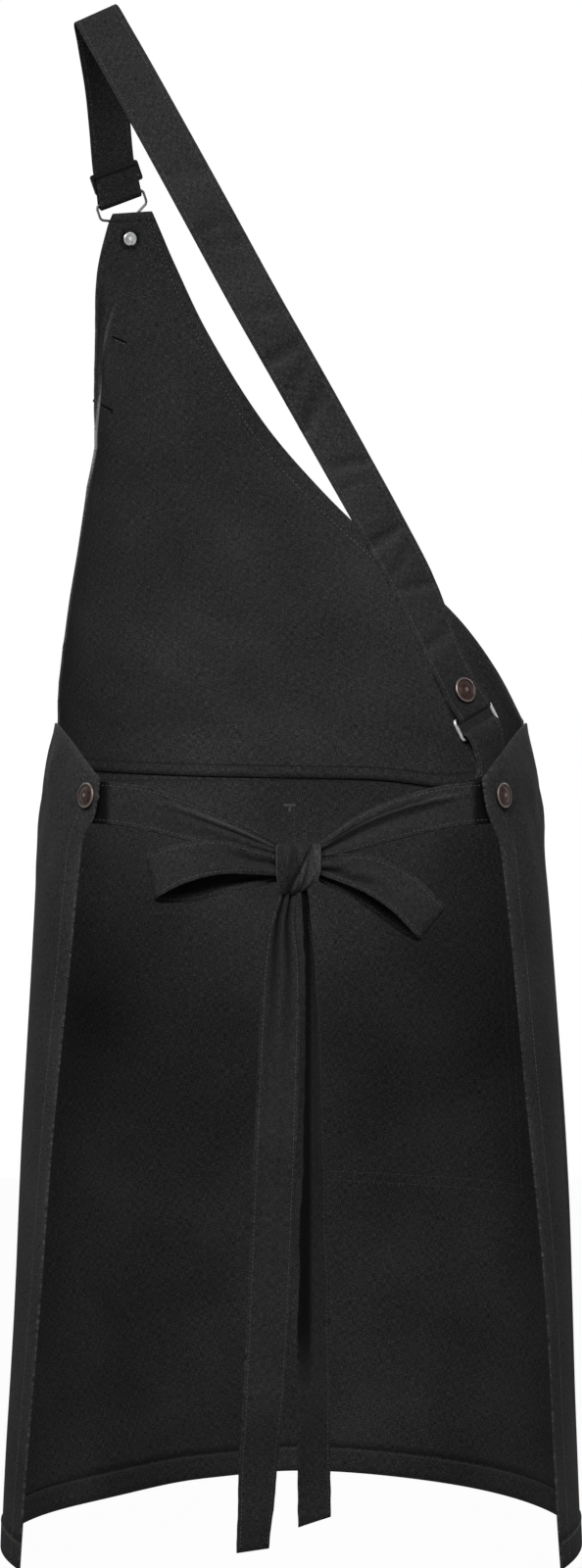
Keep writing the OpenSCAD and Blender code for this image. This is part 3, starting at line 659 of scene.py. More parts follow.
def bibPoint(u, z, out=0):
    b = bib
    angle = mix(*bibEdges(z), u)
    hem = b["hemRise"] * (angle / 90) ** 2 - b["hemTilt"] * angle / 90
    hem = hem - b["dip"] * bell(angle, b["dipAngle"], b["dipSpread"])
    lift = hem * ease((b["levelHeight"] - z) / b["levelHeight"])
    lift = lift - b["tipDrop"] * (1 - u) * ease((z - b["outline"][-1][0]) / b["tipReach"] + 1)
    roll = b["rollDepth"] * bell(z, b["rollHeight"], b["rollReach"]) + np.interp(z, *np.transpose(b["armholeIn"]))
    return bodyPoint(angle, z + lift, out - b["inset"] - roll * ease((b["rollShare"] - u) / b["rollShare"]))


# the armhole's rolled edge makes a ridge that runs down and out to the edge
def bibRidge(z):
    return 0.5 + 0.2 * np.clip(z - 256, 0, 110)


def bibHang(u, z):
    b = bib
    wide = mix(400, 40, np.clip((z - 5) / 416, 0, 1))  # from the hips to the tip
    across, fromEdge = (u - 0.5) * wide, u * wide
    level = ease((z - 30) / 60) * ease((415 - z) / 40)
    deep, length = b["wave"]
    hang = deep * level * softWaves(across * 1.3, z * 0.6, length, 23)
    deep, place, spread, slant, height, reach = b["sweep"]
    hang = hang + deep * level * bell(across + slant * (z - height), place, spread) * bell(z, height, reach)
    deep, height, reach = b["fold"]
    fold = bell(fromEdge, bibRidge(z) + 9, 5) - 1.6 * bell(fromEdge, bibRidge(z), 3.4)
    return hang + deep * bell(z, height, reach) * fold * ease(fromEdge / 8)


def makeBib():
    b = bib
    low, high = b["outline"][0][0], b["outline"][-1][0]
    tall = high - low
    v = stepsAlong(tall, 3.6, (b["lowHem"], tall - b["topHem"]))
    u = stepsAlong(300, 3.6, (b["hem"] * 1.1, 300 - b["hem"] * 1.1))
    side, up = np.meshgrid(u, v)
    z = mix(low, high, up)
    grid = bibPoint(side, z, bibHang(side, z))
    fromLeft = runLength(grid)
    fromRight = fromLeft[:, [-1]] - fromLeft
    fromTop, fromLow = high - z, z - low
    turned = np.maximum(turnedHem(np.minimum(fromLeft, fromRight), b["hem"], 1.6), turnedHem(fromTop, b["topHem"]))
    turned = np.maximum(turned, turnedHem(fromLow, b["lowHem"]))
    front = b["cloth"] / 2
    back = b["cloth"] / 2 + b["turned"] * turned
    tackAway = np.linalg.norm(grid - nodeMiddle("bib_tack"), axis=2)
    # painted shade: a dark line along the lower hem's edge where it hangs over the skirt, a dark ring round the
    # tack, and dark lines along the neck, top and lower seams. Painted highlight: a bright streak along the rolled
    # armhole edge
    paintedLightAndWear = -0.5 * bell(fromLow, 0, 1.0) - 0.9 * bell(tackAway, 6.4, 1.5)
    paintedLightAndWear = paintedLightAndWear + 5.0 * bell(fromLeft, bibRidge(z), 1.6) * bell(z, b["rollHeight"] - 22, b["rollReach"] - 6)
    neckAway = np.clip(b["neckStitch"][0] + b["neckSpread"] * fromTop, *b["neckStitch"])
    paintedLightAndWear = paintedLightAndWear - 0.4 * bell(fromRight, neckAway, 0.9) - 0.5 * bell(fromTop, b["topHem"] - b["stitchIn"], 0.9)
    paintedLightAndWear = paintedLightAndWear - 0.6 * bell(fromLow, b["lowStitch"], 0.7)
    # rows run upwards here, so they are turned over to make the normals point away from the wearer
    piece = clothObject("bib", grid[::-1], front, back[::-1], panelCloth, paintedLightAndWear[::-1])
    dressPiece(piece, "apron", "bib_panel")
    normals = -gridNormals(grid)
    inner, outer = grid - normals * back[..., None], grid + normals * front

    # the sewn line crosses each row of the grid where the distance to it passes through zero
    def alongSide(away, face, out):
        rising = np.sign(away[0, -1] - away[0, 0]) * away
        cross = lambda line, row: [np.interp(0, line, row[:, k]) for k in range(3)]
        return [np.array([cross(line, row) for line, row in zip(rising, field)]) for field in (face, out)]

    bothSides = ((inner, -normals), (outer, normals))
    rows = [stitchRow(*alongSide(fromLeft - b["hem"] + b["stitchIn"], *faces)) for faces in bothSides]
    neck = []
    for faces in bothSides:
        points, outs = alongSide(fromRight - neckAway, *faces)
        unshadedPart = points[:, 2] > b["strapCross"]  # the lighter thread ends where the strap crosses the seam; below it the darker hem thread is painted shade
        neck.append(stitchRow(points[unshadedPart], outs[unshadedPart], *b["neckThread"]))
        rows.append(stitchRow(points[~unshadedPart], outs[~unshadedPart]))
    for place in (b["lowStitch"], tall - b["topHem"] + b["stitchIn"]):
        row = nearest(v * tall, place)
        rows += [stitchRow(face[row], out[row]) for face, out in bothSides]
    sewn = [threadObject("bibStitching", rows, hemThread), threadObject("bibNeckStitching", neck, greyThread)]
    for part in sewn:
        rideThread(part, "apron")


makeBib()
print("bib made")


# patch pocket on the outside, with a pen slot beside it; its mouth gapes

pocket = {
    "cloth": 1.0, "top": -18, "height": 288, "left": 0, "right": 61, "penSeam": 0.12, "gape": 16,
    "lift": 1.3, "hem": 17, "turned": 0.8, "meanRadius": 170, "flat": (0.2, 0.29),
    "stitchInsets": (2.0, 8.0), "insideInsets": (2.0, 9.0),
}


def pocketSwell(u, v):
    p = pocket
    pen = u < p["penSeam"]
    w = np.where(pen, u / p["penSeam"], (u - p["penSeam"]) / (1 - p["penSeam"]))
    full = np.where(pen, 0.35 * p["gape"], p["gape"])
    return full * np.maximum(0, np.sin(np.pi * w)) ** 0.8 * (1 - v) ** 0.75


def pocketPoint(u, v, out=0):
    p = pocket
    angle, z = mix(p["left"], p["right"], u), p["top"] - v * p["height"]
    return skirtPoint(angle, z, p["lift"] + pocketSwell(u, v) + out)


def makePocket():
    p = pocket
    wide = math.radians(p["right"]) * p["meanRadius"]
    u = stepsAlong(wide, 4.0, (p["penSeam"] * wide,))
    v = stepsAlong(p["height"], 4.5, (p["hem"],))
    side, down = np.meshgrid(u, v)
    crease = 0.9 * softWaves(side * wide, down * p["height"] * 0.4, 70, 31) * np.sin(np.pi * side) * (1 - down)
    grid = pocketPoint(side, down, crease)
    turned = turnedHem(down * p["height"], p["hem"])
    piece = clothObject("pocket", grid, p["cloth"] / 2, p["cloth"] / 2 + p["turned"] * turned, panelCloth)
    dressPiece(piece, "apron", "front_pocket")
    normals = gridNormals(grid)
    face = grid + normals * p["cloth"] / 2
    rows = []
    for inset in p["stitchInsets"]:
        left, right = (nearest(u * wide, x) for x in (inset, wide - inset))
        low = nearest(v * p["height"], p["height"] - inset)
        rows += [stitchRow(face[:low, col], normals[:low, col]) for col in (left, right)]
        rows.append(stitchRow(face[low, left:right], normals[low, left:right]))
    pen, mouth = nearest(u, p["penSeam"]), nearest(v * p["height"], p["hem"] - 2)
    rows.append(stitchRow(face[:, pen], normals[:, pen]))
    rows.append(stitchRow(face[mouth], normals[mouth]))
    # the same seams seen on the inside of the skirt
    inside = skirt["cloth"] / 2
    for inset in p["insideInsets"]:
        z = p["top"] - p["height"] + inset
        q = np.linspace(p["left"], p["right"], 90)
        rows.append(stitchRow(skirtPoint(q, z + 0 * q, -inside), -bodyNormal(q, z + 0 * q), radius=0.24))
        z = np.linspace(p["top"], p["top"] - p["height"], 120)
        for q in (p["left"] + inset * 0.4, p["right"] - inset * 0.4):
            rows.append(stitchRow(skirtPoint(q + 0 * z, z, -inside), -bodyNormal(q + 0 * z, z), radius=0.2))
    sewn = threadObject("pocketStitching", rows, thread)
    rideThread(sewn, "apron")


makePocket()
print("pocket made")


# ribbons: each station has a centre, a width direction, a width and a depth of gathers

def ribbonStations(control, steps):
    u = np.linspace(0, 1, steps + 1)
    column = lambda k: splineAt([np.atleast_1d(row[k]) for row in control], u)
    return column(0), unit(column(1)), column(2)[:, 0], np.maximum(0, column(3)[:, 0])


def joinStations(*parts):
    return tuple(np.concatenate([part[k] for part in parts]) for k in range(4))


def straight(points, wide, width):
    points, count = np.asarray(points, float), len(points)
    return points, np.repeat(np.asarray(wide, float)[None], count, 0), np.full(count, width), np.zeros(count)


def ribbonGrid(stations, across, waves=None, gathers=1.5):
    centre, wide, width, gather = stations
    along = unit(np.gradient(centre, axis=0))
    lift = unit(np.cross(along, wide))
    inner = np.linspace(-0.42, 0.42, across - 3)
    v = np.r_[-0.5, -0.485, inner, 0.485, 0.5]
    place = runLength(centre)
    wave = gather[:, None] * np.cos(2 * np.pi * gathers * v)
    if waves is not None:
        wave = wave + waves(place[:, None], v[None, :], place[-1])
    return centre[:, None] + wide[:, None] * (v * width[:, None])[..., None] + lift[:, None] * wave[..., None]


# rows of stitches beside a ribbon's edges, on both of its faces
def edgeRows(grid, thickness, inset=2.2, skip=(0, 0), edges=(0, -1)):
    normals = gridNormals(grid)
    picked = np.arange(skip[0], len(grid) - skip[1])
    rows = []
    for edge in edges:
        near = runLength(grid[:, ::(1 if edge == 0 else -1)])
        cols = np.array([nearest(near[i, 1:], min(inset, near[i, -1] / 3)) + 1 for i in picked])
        cols = cols if edge == 0 else grid.shape[1] - 1 - cols
        points, outs = grid[picked, cols], normals[picked, cols]
        for side in (1, -1):
            rows.append(stitchRow(points + outs * side * thickness / 2, outs * side, radius=0.26))
    return rows


def makeRibbon(name, grid, thickness, node, body="apron", skip=(0, 0),
               paintedLightAndWear=0.0, edges=(0, -1)):
    paintedLightAndWear = np.array(np.broadcast_to(paintedLightAndWear, grid.shape[:2]))
    paintedLightAndWear[:, [0, 1, -2, -1]] += 0.05  # folded edges catch the light
    piece = clothObject(name, grid, thickness / 2, thickness / 2, shadedTapeCloth, paintedLightAndWear)
    sewn = threadObject(name + "Stitching", edgeRows(grid, thickness, skip=skip, edges=edges), thread)
    if body == "apron":
        dressPiece(piece, body, node)
        rideThread(sewn, body)
    return piece, sewn


# shoulder strap: lap behind the hook, over the shoulder, down the back and round the hip ring

strap = {
    "width": 32, "thick": 1.6, "loop": 3.4, "lap": 19, "lapMeet": 6, "lapHalf": 2.2, "hipLap": 34, "hipMeet": 10,
    "hipHalf": 0.95, "frontStraight": 27, "backStraight": (45, 20, 10), "ringPitch": 15, "flat": (0.032, 0.81),
    "creases": [  # place along the strap, slant over its width, depth, spread
        (330, -16, 0.3, 5), (376, -8, 0.6, 4), (390, -14, 0.4, 4), (445, -16, 0.4, 5), (478, 2, 0.9, 5),
        (498, 30, 0.5, 5), (520, 26, 0.7, 7), (566, -12, 0.8, 5), (582, -4, 0.4, 4), (622, 4, 0.9, 5),
        (642, 20, 0.5, 5), (662, -8, 0.6, 4), (700, 6, 0.6, 5)],
    "front": [(-132.5, 47, 483), (-135, 35, 510), (-138.5, 16, 537)],
    "frontAcross": [(0.87, 0.35, 0.33), (0.87, 0.35, 0.36), (0.89, 0.2, 0.41)],
    "back": [(-139.5, -3, 549), (-128, -24, 527), (-104, -50, 481), (-63, -77, 403), (-27, -92, 335), (3, -100, 281),
             (33, -105, 227), (63, -107, 173), (85, -107, 132)],
    "backAcross": [(0.9, 0.1, 0.43), (0.88, -0.1, 0.47), (0.87, -0.15, 0.47), (0.88, -0.1, 0.47), (0.88, 0, 0.47),
                   (0.88, 0.05, 0.47), (0.87, 0.12, 0.47), (0.85, 0.25, 0.46), (0.8, 0.4, 0.45)],
}
hookBar = np.array(joints["hook_turn"]["pos_m"]) / mm
hookAcross = np.array(joints["hook_turn"]["axis"])
hookOut = np.array(joints["bib_button_turn"]["axis"])
hookDown = np.cross(hookOut, hookAcross)
lapWay = -np.array(joints["slider_slide"]["axis"])
ringLower = np.array(joints["ring_turn"]["pos_m"]) / mm
ringAcross = np.array(joints["ring_turn"]["axis"])
ringOut = np.array(joints["strap_button_turn"]["axis"])
ringDown = np.cross(ringAcross, ringOut)
ringUpper = ringLower - ringDown * strap["ringPitch"]


# half turn round a bar, from the outer side to the inner side
def halfTurn(bar, out, down, steps=18):
    q = np.linspace(0, np.pi, steps)[:, None]
    return bar + strap["loop"] * (out * np.cos(q) + down * np.sin(q))


# shallow slanting creases down the back, where the strap has been folded and worn
def strapCreases(place, v, narrow=1.0, shift=0.0):
    crease = np.zeros(np.broadcast(place, v).shape)
    for at, slant, depth, spread in strap["creases"]:
        line = bell(place + slant * v, at + shift * spread, narrow * spread)
        crease = crease + depth * line * (1 - (1.6 * v + 0.2 * np.sign(slant)) ** 2)
    return crease


def strapWaves(place, v, length):
    calm = ease((place - 150) / 60) * ease((length - 75 - place) / 50)
    return calm * (0.25 * softWaves(place + v * 14, v * 20, 70, 41) - strapCreases(place, v))


def makeStrap():
    s = strap
    frontRun, backRun = hookBar + hookOut * s["lapHalf"], ringUpper + ringOut * s["hipHalf"]
    as3 = lambda rows: [np.array(row, float) for row in rows]
    control = [[frontRun - lapWay * h, hookAcross, s["width"], 0] for h in (s["lapMeet"], s["frontStraight"])]
    control += [[p, unit(w), s["width"], 0] for p, w in zip(as3(s["front"]), as3(s["frontAcross"]))]
    control += [[p, unit(w), s["width"], 0] for p, w in zip(as3(s["back"]), as3(s["backAcross"]))]
    control += [[backRun - ringDown * h, ringAcross, s["width"], 0] for h in s["backStraight"]]
    lap = [hookBar - hookOut * s["lapHalf"] - lapWay * h for h in np.linspace(s["lap"], s["lapMeet"], 8)]
    hipLap = [ringUpper - ringOut * s["hipHalf"] - ringDown * h for h in np.linspace(s["hipMeet"], s["hipLap"], 10)]
    stations = joinStations(
        straight(lap, hookAcross, s["width"]),
        straight(halfTurn(hookBar, hookOut, hookDown)[::-1], hookAcross, s["width"]),
        ribbonStations(control, 210),
        straight(halfTurn(ringUpper, ringOut, ringDown), ringAcross, s["width"]),
        straight(hipLap, ringAcross, s["width"]))
    grid = ribbonGrid(stations, 14, strapWaves)
    place = runLength(grid[:, grid.shape[1] // 2])[:, None]
    v = np.linspace(-0.5, 0.5, grid.shape[1])[None]
    paintedLightAndWear = 0.22 * strapCreases(place, v, 0.8, 1.3) - 0.65 * strapCreases(place, v, 0.6)  # painted shade along each crease and a painted highlight just beside it
    paintedLightAndWear[0] = -0.9  # painted shade at the lap's cut end, which is turned under
    rests, sewnFrom = ["wire_hook", "hip_ring"], (44, 0)  # edge stitching starts above the slider's travel
    makeRibbon("shoulderStrap", grid, s["thick"], "shoulder_strap",
               skip=sewnFrom, paintedLightAndWear=paintedLightAndWear)


makeStrap()


# hip tab: folded over the ring's lower bar, both ends sewn inside the right flap

tab = {"angle": 127, "height": 9, "ease": 3, "rise": 9, "straight": 6, "gap": 0.3, "flat": (0.032, 0.068)}


def makeTab():
    t, wide = tab, strap["width"]
    near = -(skirt["cloth"] + strap["thick"]) / 2 - t["ease"]
    far = near - strap["thick"] - t["gap"]
    seat = unit(np.array([0, 0, 0.3]) - bodyAcross(t["angle"], t["height"]))
    foot = lambda out: bodyPoint(t["angle"], t["height"], out)
    knee = lambda out: bodyPoint(t["angle"] - 1, t["height"] + t["rise"], out)
    leave = lambda side: ringLower + ringOut * side * strap["loop"] + ringDown * t["straight"]
    outer = [[foot(near), seat, wide, 0], [knee(near), seat, wide, 0], [leave(1), ringAcross, wide, 0]]
    inner = [[leave(-1), ringAcross, wide, 0], [knee(far), seat, wide, 0], [foot(far), seat, wide, 0]]
    stations = joinStations(
        ribbonStations(outer, 12),
        straight(halfTurn(ringLower, ringOut, -ringDown), ringAcross, wide),
        ribbonStations(inner, 12))
    makeRibbon("hipTab", ribbonGrid(stations, 14), strap["thick"], "hip_tab")


makeTab()
print("strap and tab made")


# waist ties: sewn inside the flaps and drawn into the knot

tie = {
    "width": 28, "thick": 1.2, "height": -12, "inset": -2.9, "sewn": (115, 122, 129), "flapShadowFrom": 121, "fold": 0.24,
    "foldFrom": {-1: 0.6, 1: 0.38},
    "flat": (0.028, 0.165), "loopFlat": (0.028, 0.185),
}
knot = {"centre": (5, -126, -57), "half": 15.5, "depth": 11.5, "rise": 17, "tipShift": 3,
        "creases": [(-0.62, 0.9), (-0.3, 1.3), (0.0, 0.9), (0.45, 0.9), (0.7, 0.7)]}  # place across, depth


def tieControl(side):
    t, knotX = tie, knot["centre"][0] + side * (knot["half"] - 1)
    rows = [[bodyPoint(side * q, t["height"], t["inset"]), bodyUpward(side * q, t["height"]), t["width"], 0]
            for q in t["sewn"]]
    rows += [[(side * 113, -118.5, -14), (-side * 0.06, 0, 1), t["width"], 0],
             [(side * 90, -122, -18.5), (-side * 0.16, 0.15, 1), t["width"], 0.4],
             [(side * 56, -125, -29), (-side * 0.33, 0.25, 0.94), t["width"] * 0.86, 1.4],
             [(knotX, knot["centre"][1] + 4, -46), (-side * 0.38, 0.3, 0.87), t["width"] * 0.42, 2.2]]
    return rows


def makeTie(side, name, node, seed):
    def waves(place, v, length):
        drawn = ease((place / length - tie["foldFrom"][side]) / 0.25)
        crease = 2.8 * bell(v, tie["fold"], 0.06) - 1.8 * bell(v, tie["fold"] - 0.12, 0.08)
        soft = 0.5 * softWaves(place * 0.7, v * 30, 40, seed)
        return drawn * (1 - ease((place - length + 14) / 12)) * crease + soft * ease(place / 60 - 0.6)

    grid = ribbonGrid(ribbonStations(tieControl(side), 70), 22, waves)
    v, along = np.linspace(-0.5, 0.5, grid.shape[1]), np.linspace(0, 1, len(grid))[:, None]
    drawn = ease((along - tie["foldFrom"][side]) / 0.25)
    # painted highlight on the drawn fold's ridge and painted shade in its valley
    paintedLightAndWear = drawn * (0.4 * bell(v, tie["fold"], 0.05) - 0.9 * bell(v, tie["fold"] - 0.11, 0.06))
    paintedLightAndWear = paintedLightAndWear - ease((np.abs(grid[..., 0]) - tie["flapShadowFrom"]) / 5)  # painted shadow where the flap's edge shades the tie
    makeRibbon(name, grid, tie["thick"], node, paintedLightAndWear=paintedLightAndWear)


# knot: a band of the tie drawn tight over the crossing, pleated down its face and pinched below
def makeKnot():
    k = knot
    u = np.linspace(-1, 1, 61)
    q = np.linspace(0, 2 * np.pi, 97)[:-1]
    across, turn = np.meshgrid(u, q, indexing="ij")
    high, outward = np.sin(turn), np.maximum(0, -np.cos(turn))
    low = np.maximum(0, -high)
    plump = (1 - np.abs(across) ** 6) ** 0.25 * 0.25 + 0.75
    wander = 0.18 * np.sin(turn * 1.5 + 0.6)
    pleat = 0.5 * np.cos(2 * np.pi * (1.5 * across + wander))
    for place, depth in k["creases"]:
        pleat = pleat - depth * bell(across, place + 0.1 * np.sin(turn * 2 + 9 * place), 0.055)
    # the last turn of the band lies over the others: its edge runs from the upper right to the tip
    wrap = across - 0.12 - 0.5 * high
    over = 1.5 * ease(wrap / 0.1 + 0.5) - 0.75 - 0.9 * bell(wrap, -0.1, 0.09)
    relief = (pleat + over) * (1 - np.abs(across) ** 8) * (0.3 + 0.7 * outward)
    lip = 0.9 * bell(np.abs(across), 0.93, 0.05)
    size = np.stack([np.zeros_like(turn), np.cos(turn), np.sin(turn)], -1) * (relief + lip)[..., None]
    x = k["half"] * across * (1 - 0.55 * low**2.2) - k["tipShift"] * low**2
    z = k["rise"] * plump * np.sin(turn) + 2 * across * low
    points = np.stack([x, k["depth"] * plump * np.cos(turn), z], -1) + size + np.array(k["centre"])
    # painted light by shape: raised pleats lighter and hollows darker, painted shadow under the edge of the
    # overlapping turn, and a painted highlight along the band's edges
    paintedLightAndWear = 0.1 + np.clip(0.3 * relief, -0.45, 0.3) - 0.7 * bell(wrap, -0.06, 0.06) * outward
    paintedLightAndWear = paintedLightAndWear + 0.6 * bell(np.abs(across), 0.95, 0.04)
    rows, cols = turn.shape
    ends = [np.array(k["centre"]) + [side * (k["half"] - 3), 0, 0] for side in (-1, 1)]
    faces = [(i * cols + j, i * cols + (j + 1) % cols, (i + 1) * cols + (j + 1) % cols, (i + 1) * cols + j)
             for i in range(rows - 1) for j in range(cols)]
    faces += [(rows * cols, (j + 1) % cols, j) for j in range(cols)]
    faces += [(rows * cols + 1, (rows - 1) * cols + j, (rows - 1) * cols + (j + 1) % cols) for j in range(cols)]
    flat = np.stack([across * 14, turn * 14], -1).reshape(-1, 2)
    # the two end points get painted shade
    piece = meshObject("bowKnot", np.vstack([points.reshape(-1, 3), ends]), faces, shadedTapeCloth,
                       np.vstack([flat, [(0, 0), (0, 0)]]), np.r_[paintedLightAndWear.ravel(), -0.5, -0.5])
    dressPiece(piece, "apron", "bow_knot")
    return piece


# bow loops: out from the knot in front, round the open end, and back behind

knotLeft, knotRight = knot["centre"][0] - knot["half"] + 1, knot["centre"][0] + knot["half"] - 1
loop = {
    "left": [
        [(knotLeft, -131, -55), (0.1, 0, 1), 13, 2], [(-45, -142, -49), (0, 0.2, 1), 22, 0.8],
        [(-72, -144, -53), (-0.1, 0.3, 1), 27, 0], [(-90, -141, -60), (-0.18, 0.2, 1), 30, 0],
        [(-94, -134, -63), (-0.18, 0, 1), 30, 0], [(-88, -128, -65), (-0.15, 0, 1), 30, 0],
        [(-66, -128, -65), (-0.1, 0, 1), 27, 0], [(-38, -130, -61), (0, 0, 1), 20, 0.6],
        [(knotLeft, -124, -60), (0.1, 0, 1), 12, 1]],
    "right": [
        [(knotRight, -131, -54), (0, 0, 1), 13, 2], [(50, -142, -60), (0.16, 0.15, 1), 24, 0.8],
        [(72, -144, -71), (0.4, 0.2, 0.9), 28, 0], [(91, -141, -89), (0.6, 0.15, 0.8), 28, 0],
        [(95, -134, -94), (0.6, 0, 0.8), 28, 0], [(88, -128, -92), (0.6, 0, 0.8), 28, 0],
        [(67, -128, -79), (0.4, 0, 0.9), 26, 0], [(44, -130, -67), (0.16, 0, 1), 20, 0.6],
        [(knotRight, -124, -60), (0, 0, 1), 12, 1]],
}


def makeLoop(name, control, node, seed):
    def waves(place, v, length):
        fromKnot = np.minimum(place, length - place)
        pucker = 1.3 * bell(fromKnot, 20, 18) * softWaves(place * 0.35, v * 26, 13, seed)
        return pucker + 0.35 * softWaves(place, v * 28, 34, seed + 1) * ease(fromKnot / 20)

    grid = ribbonGrid(ribbonStations(control, 110), 22, waves)
    # painted shadow: the back layer's inside is darkened in its upper part, where the front layer shades it
    back = ease((np.linspace(0, 1, len(grid)) - 0.5) / 0.12)[:, None]
    inside = ease((np.linspace(-0.5, 0.5, grid.shape[1]) + 0.36) / 0.12)
    makeRibbon(name, grid, tie["thick"], node, paintedLightAndWear=-0.75 * back * inside)


bowKnot = makeKnot()
makeTie(-1, "tieLeft", "tie_left", 51)
makeTie(1, "tieRight", "tie_right", 53)
makeLoop("bowLoopLeft", loop["left"], "bow_loop_left", 61)
makeLoop("bowLoopRight", loop["right"], "bow_loop_right", 67)
print("ties and bow made")


# tails: hang from the knot, gathered at the top and turned a little as they fall

tail = {
    "blendTop": (0, -0.126, -0.07), "blendEnd": (0, -0.126, -0.115),
    "left": [
        [(0, -125, -64), (1, 0.1, 0), 8, 1.2], [(-3, -126, -78), (1, 0.1, 0), 12, 2.4],
        [(-6, -128, -97), (1, 0.1, 0), 17, 2.6],
        [(-6.5, -131, -131), (1, 0, 0), 25, 1.8], [(-9.5, -132, -218), (1, 0, 0), 28, 0.8],
        [(-13, -131, -305), (1, 0.1, 0), 29, 0.4], [(-17, -130, -393), (1, 0.2, 0), 29, 0],
        [(-22, -130, -460), (1, 0.5, 0), 28, 0], [(-25.5, -130, -515), (1, 0.8, -0.05), 27, 0]],
    "right": [
        [(7, -124, -64), (0.6, 0.8, 0), 5, 0.4], [(9.5, -124, -78), (0.6, 0.8, 0), 6, 0.6],
        [(10.5, -120, -97), (0.45, 0.9, 0), 9.5, 0.8],
        [(13.5, -118, -131), (0.35, 0.94, 0), 20, 0.6], [(15, -118, -218), (0.45, 0.88, 0), 26, 0.3],
        [(15.2, -120, -305), (0.63, 0.78, 0), 28, 0], [(15.5, -122, -393), (0.77, 0.64, 0), 28, 0],
        [(15.8, -124, -450), (0.77, 0.64, 0), 28, 0], [(15.5, -124, -497), (0.77, 0.64, 0.1), 28, 0]],
    "gap": (15, -420), "gathered": (-80, 130), "crinkle": 9,  # across and height; top and reach; spacing
    "leftFlat": (0.028, 0.46), "rightFlat": (0.028, 0.43),
}


def makeTail(name, control, node, body, seed):
    gathers = 2.5

    def waves(place, v, length):
        edge = np.abs(2 * v) ** 3
        pucker = 0.3 * edge * softWaves(place, v * 3, 13, seed)
        crease = 0.45 * softWaves(place, v * 12, 52, seed + 1) * ease((place - 40) / 80)
        return pucker + crease

    grid = ribbonGrid(ribbonStations(control, 170), 26, waves, gathers)
    drawn = 1 - ease((tail["gathered"][0] - grid[..., 2]) / tail["gathered"][1])
    v, down = np.linspace(-0.5, 0.5, grid.shape[1]), grid[0, 0, 2] - grid[..., 2]
    # painted shade in the valleys of the gathers
    paintedLightAndWear = -0.8 * drawn * np.maximum(0, -np.cos(2 * np.pi * gathers * v))
    # painted shade of short crinkles that the edge seams draw into the cloth; the crinkles have no shape of their
    # own
    uneven = np.clip(0.5 + softWaves(down, 40 * v, 60, seed + 2), 0, 1)
    crinkleShadeAmount = ease((down - 90) / 60) * (0.15 + 0.85 * (2 * v) ** 2) * uneven
    crinkle = np.sin(2 * np.pi * (down + 4 * np.sin(down / 31)) / tail["crinkle"])
    paintedLightAndWear = paintedLightAndWear - 0.45 * crinkleShadeAmount * np.maximum(0, crinkle) ** 2
    edges = (0, -1)
    if body == "tail_right":  # its left part gets a painted shadow of the other tail
        edges = (-1,)
        x, z = tail["gap"]
        paintedLightAndWear = np.minimum(paintedLightAndWear, -ease((x - grid[..., 0]) / 4) * ease((grid[..., 2] - z) / 60))
    piece, sewn = makeRibbon(name, grid, tie["thick"], node, body, (4, 1),
                             paintedLightAndWear=paintedLightAndWear, edges=edges)
    for part in (piece, sewn):
        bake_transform(part)
    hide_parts(node)


makeTail("tailLeft", tail["left"], "tie_tail_left", "tail_left", 71)
makeTail("tailRight", tail["right"], "tie_tail_right", "tail_right", 77)
print("tails made")


# bar tacks: short satin-stitched bars where seams end

barTacks = {
    "thread": 0.34, "spacing": 0.55, "width": 2.0, "edgeThread": (3.0, 0.9),  # the last is pitch and share
    "bib": [(-127.8, 327.4, -16, 12.5), (-140.2, 277.4, -17, 20)],  # x, height, slope in degrees, length
    "pocket": [(-1, -16, 0, 9), (-1, -19, 90, 3.5)],
}


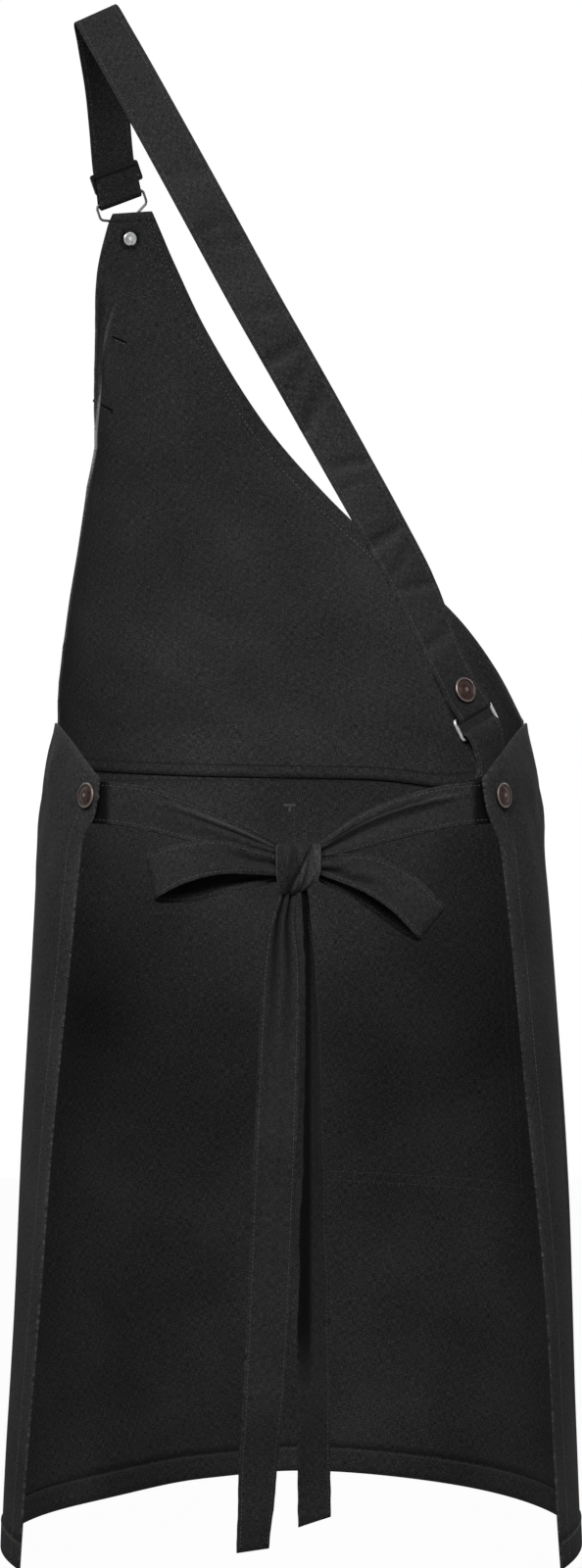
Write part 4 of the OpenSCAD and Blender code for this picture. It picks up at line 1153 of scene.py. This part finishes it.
def barRows(middle, along, out, length):
    b = barTacks
    side = np.cross(out, along)
    rows = []
    for s in np.arange(-length / 2, length / 2, b["spacing"]):
        centre = middle + along * s
        path = np.array([centre - side * b["width"] / 2, centre + side * b["width"] / 2])
        rows.append(stitchRow(path, np.array([out, out]), pitch=b["width"], share=1.0, radius=b["thread"]))
    return rows


# point on the bib's inner face
def bibInside(u, z):
    u, z = np.array(u), np.array(z)
    return bibPoint(u, z, bibHang(u, z) - bib["cloth"] / 2)


def tilted(acrossWay, upWay, slope):
    return acrossWay * math.cos(math.radians(slope)) + upWay * math.sin(math.radians(slope))


def makeBarTacks():
    rows, edges = [], []
    for x, z, slope, length in barTacks["bib"]:
        left, right = bibEdges(z)
        u = (angleAt(x, z) - left) / (right - left)
        middle = bibInside(u, z)
        acrossWay = unit(bibInside(u + 0.01, z) - bibInside(u - 0.01, z))
        upWay = unit(bibInside(u, z + 1) - bibInside(u, z - 1))
        out = unit(np.cross(acrossWay, upWay))
        along = unit(tilted(acrossWay, upWay, slope))
        rows += barRows(middle, along, out, length)
        lower = middle + np.cross(along, out) * barTacks["width"] * 0.75
        ends = np.array([lower + along * length * share for share in (-0.3, 0.45)])
        edges.append(stitchRow(ends, np.array([out, out]), *barTacks["edgeThread"]))
    for name, made, material in (("bibBarTacks", rows, tackThread), ("bibBarTackEdges", edges, greyThread)):
        rideThread(threadObject(name, made, material), "apron")
    rows = []
    for x, z, slope, length in barTacks["pocket"]:
        angle = angleAt(x, z)
        middle = skirtPoint(np.array(angle), np.array(z), -skirt["cloth"] / 2)
        along = tilted(bodyAcross(angle, z), bodyUpward(angle, z), slope)
        rows += barRows(middle, along, -bodyNormal(angle, z), length)
    rideThread(threadObject("pocketBarTack", rows, greyThread), "apron")


makeBarTacks()
print("bar tacks made")


# hardware keeps its solids and gets its finish

hardware = {
    "bib_button": bronze, "strap_button": bronze, "hip_button_left": bronze, "hip_button_right": bronze,
    "bib_tack": nickel, "strap_tack": nickel, "hip_tack_left": nickel, "hip_tack_right": nickel,
    "wire_hook": darkNickel, "hip_ring": nickel, "strap_slider": lacquer,
}
for node, finish in hardware.items():
    for place in frame["nodes"][node].material_slots:
        place.material = finish
print("hardware finished")
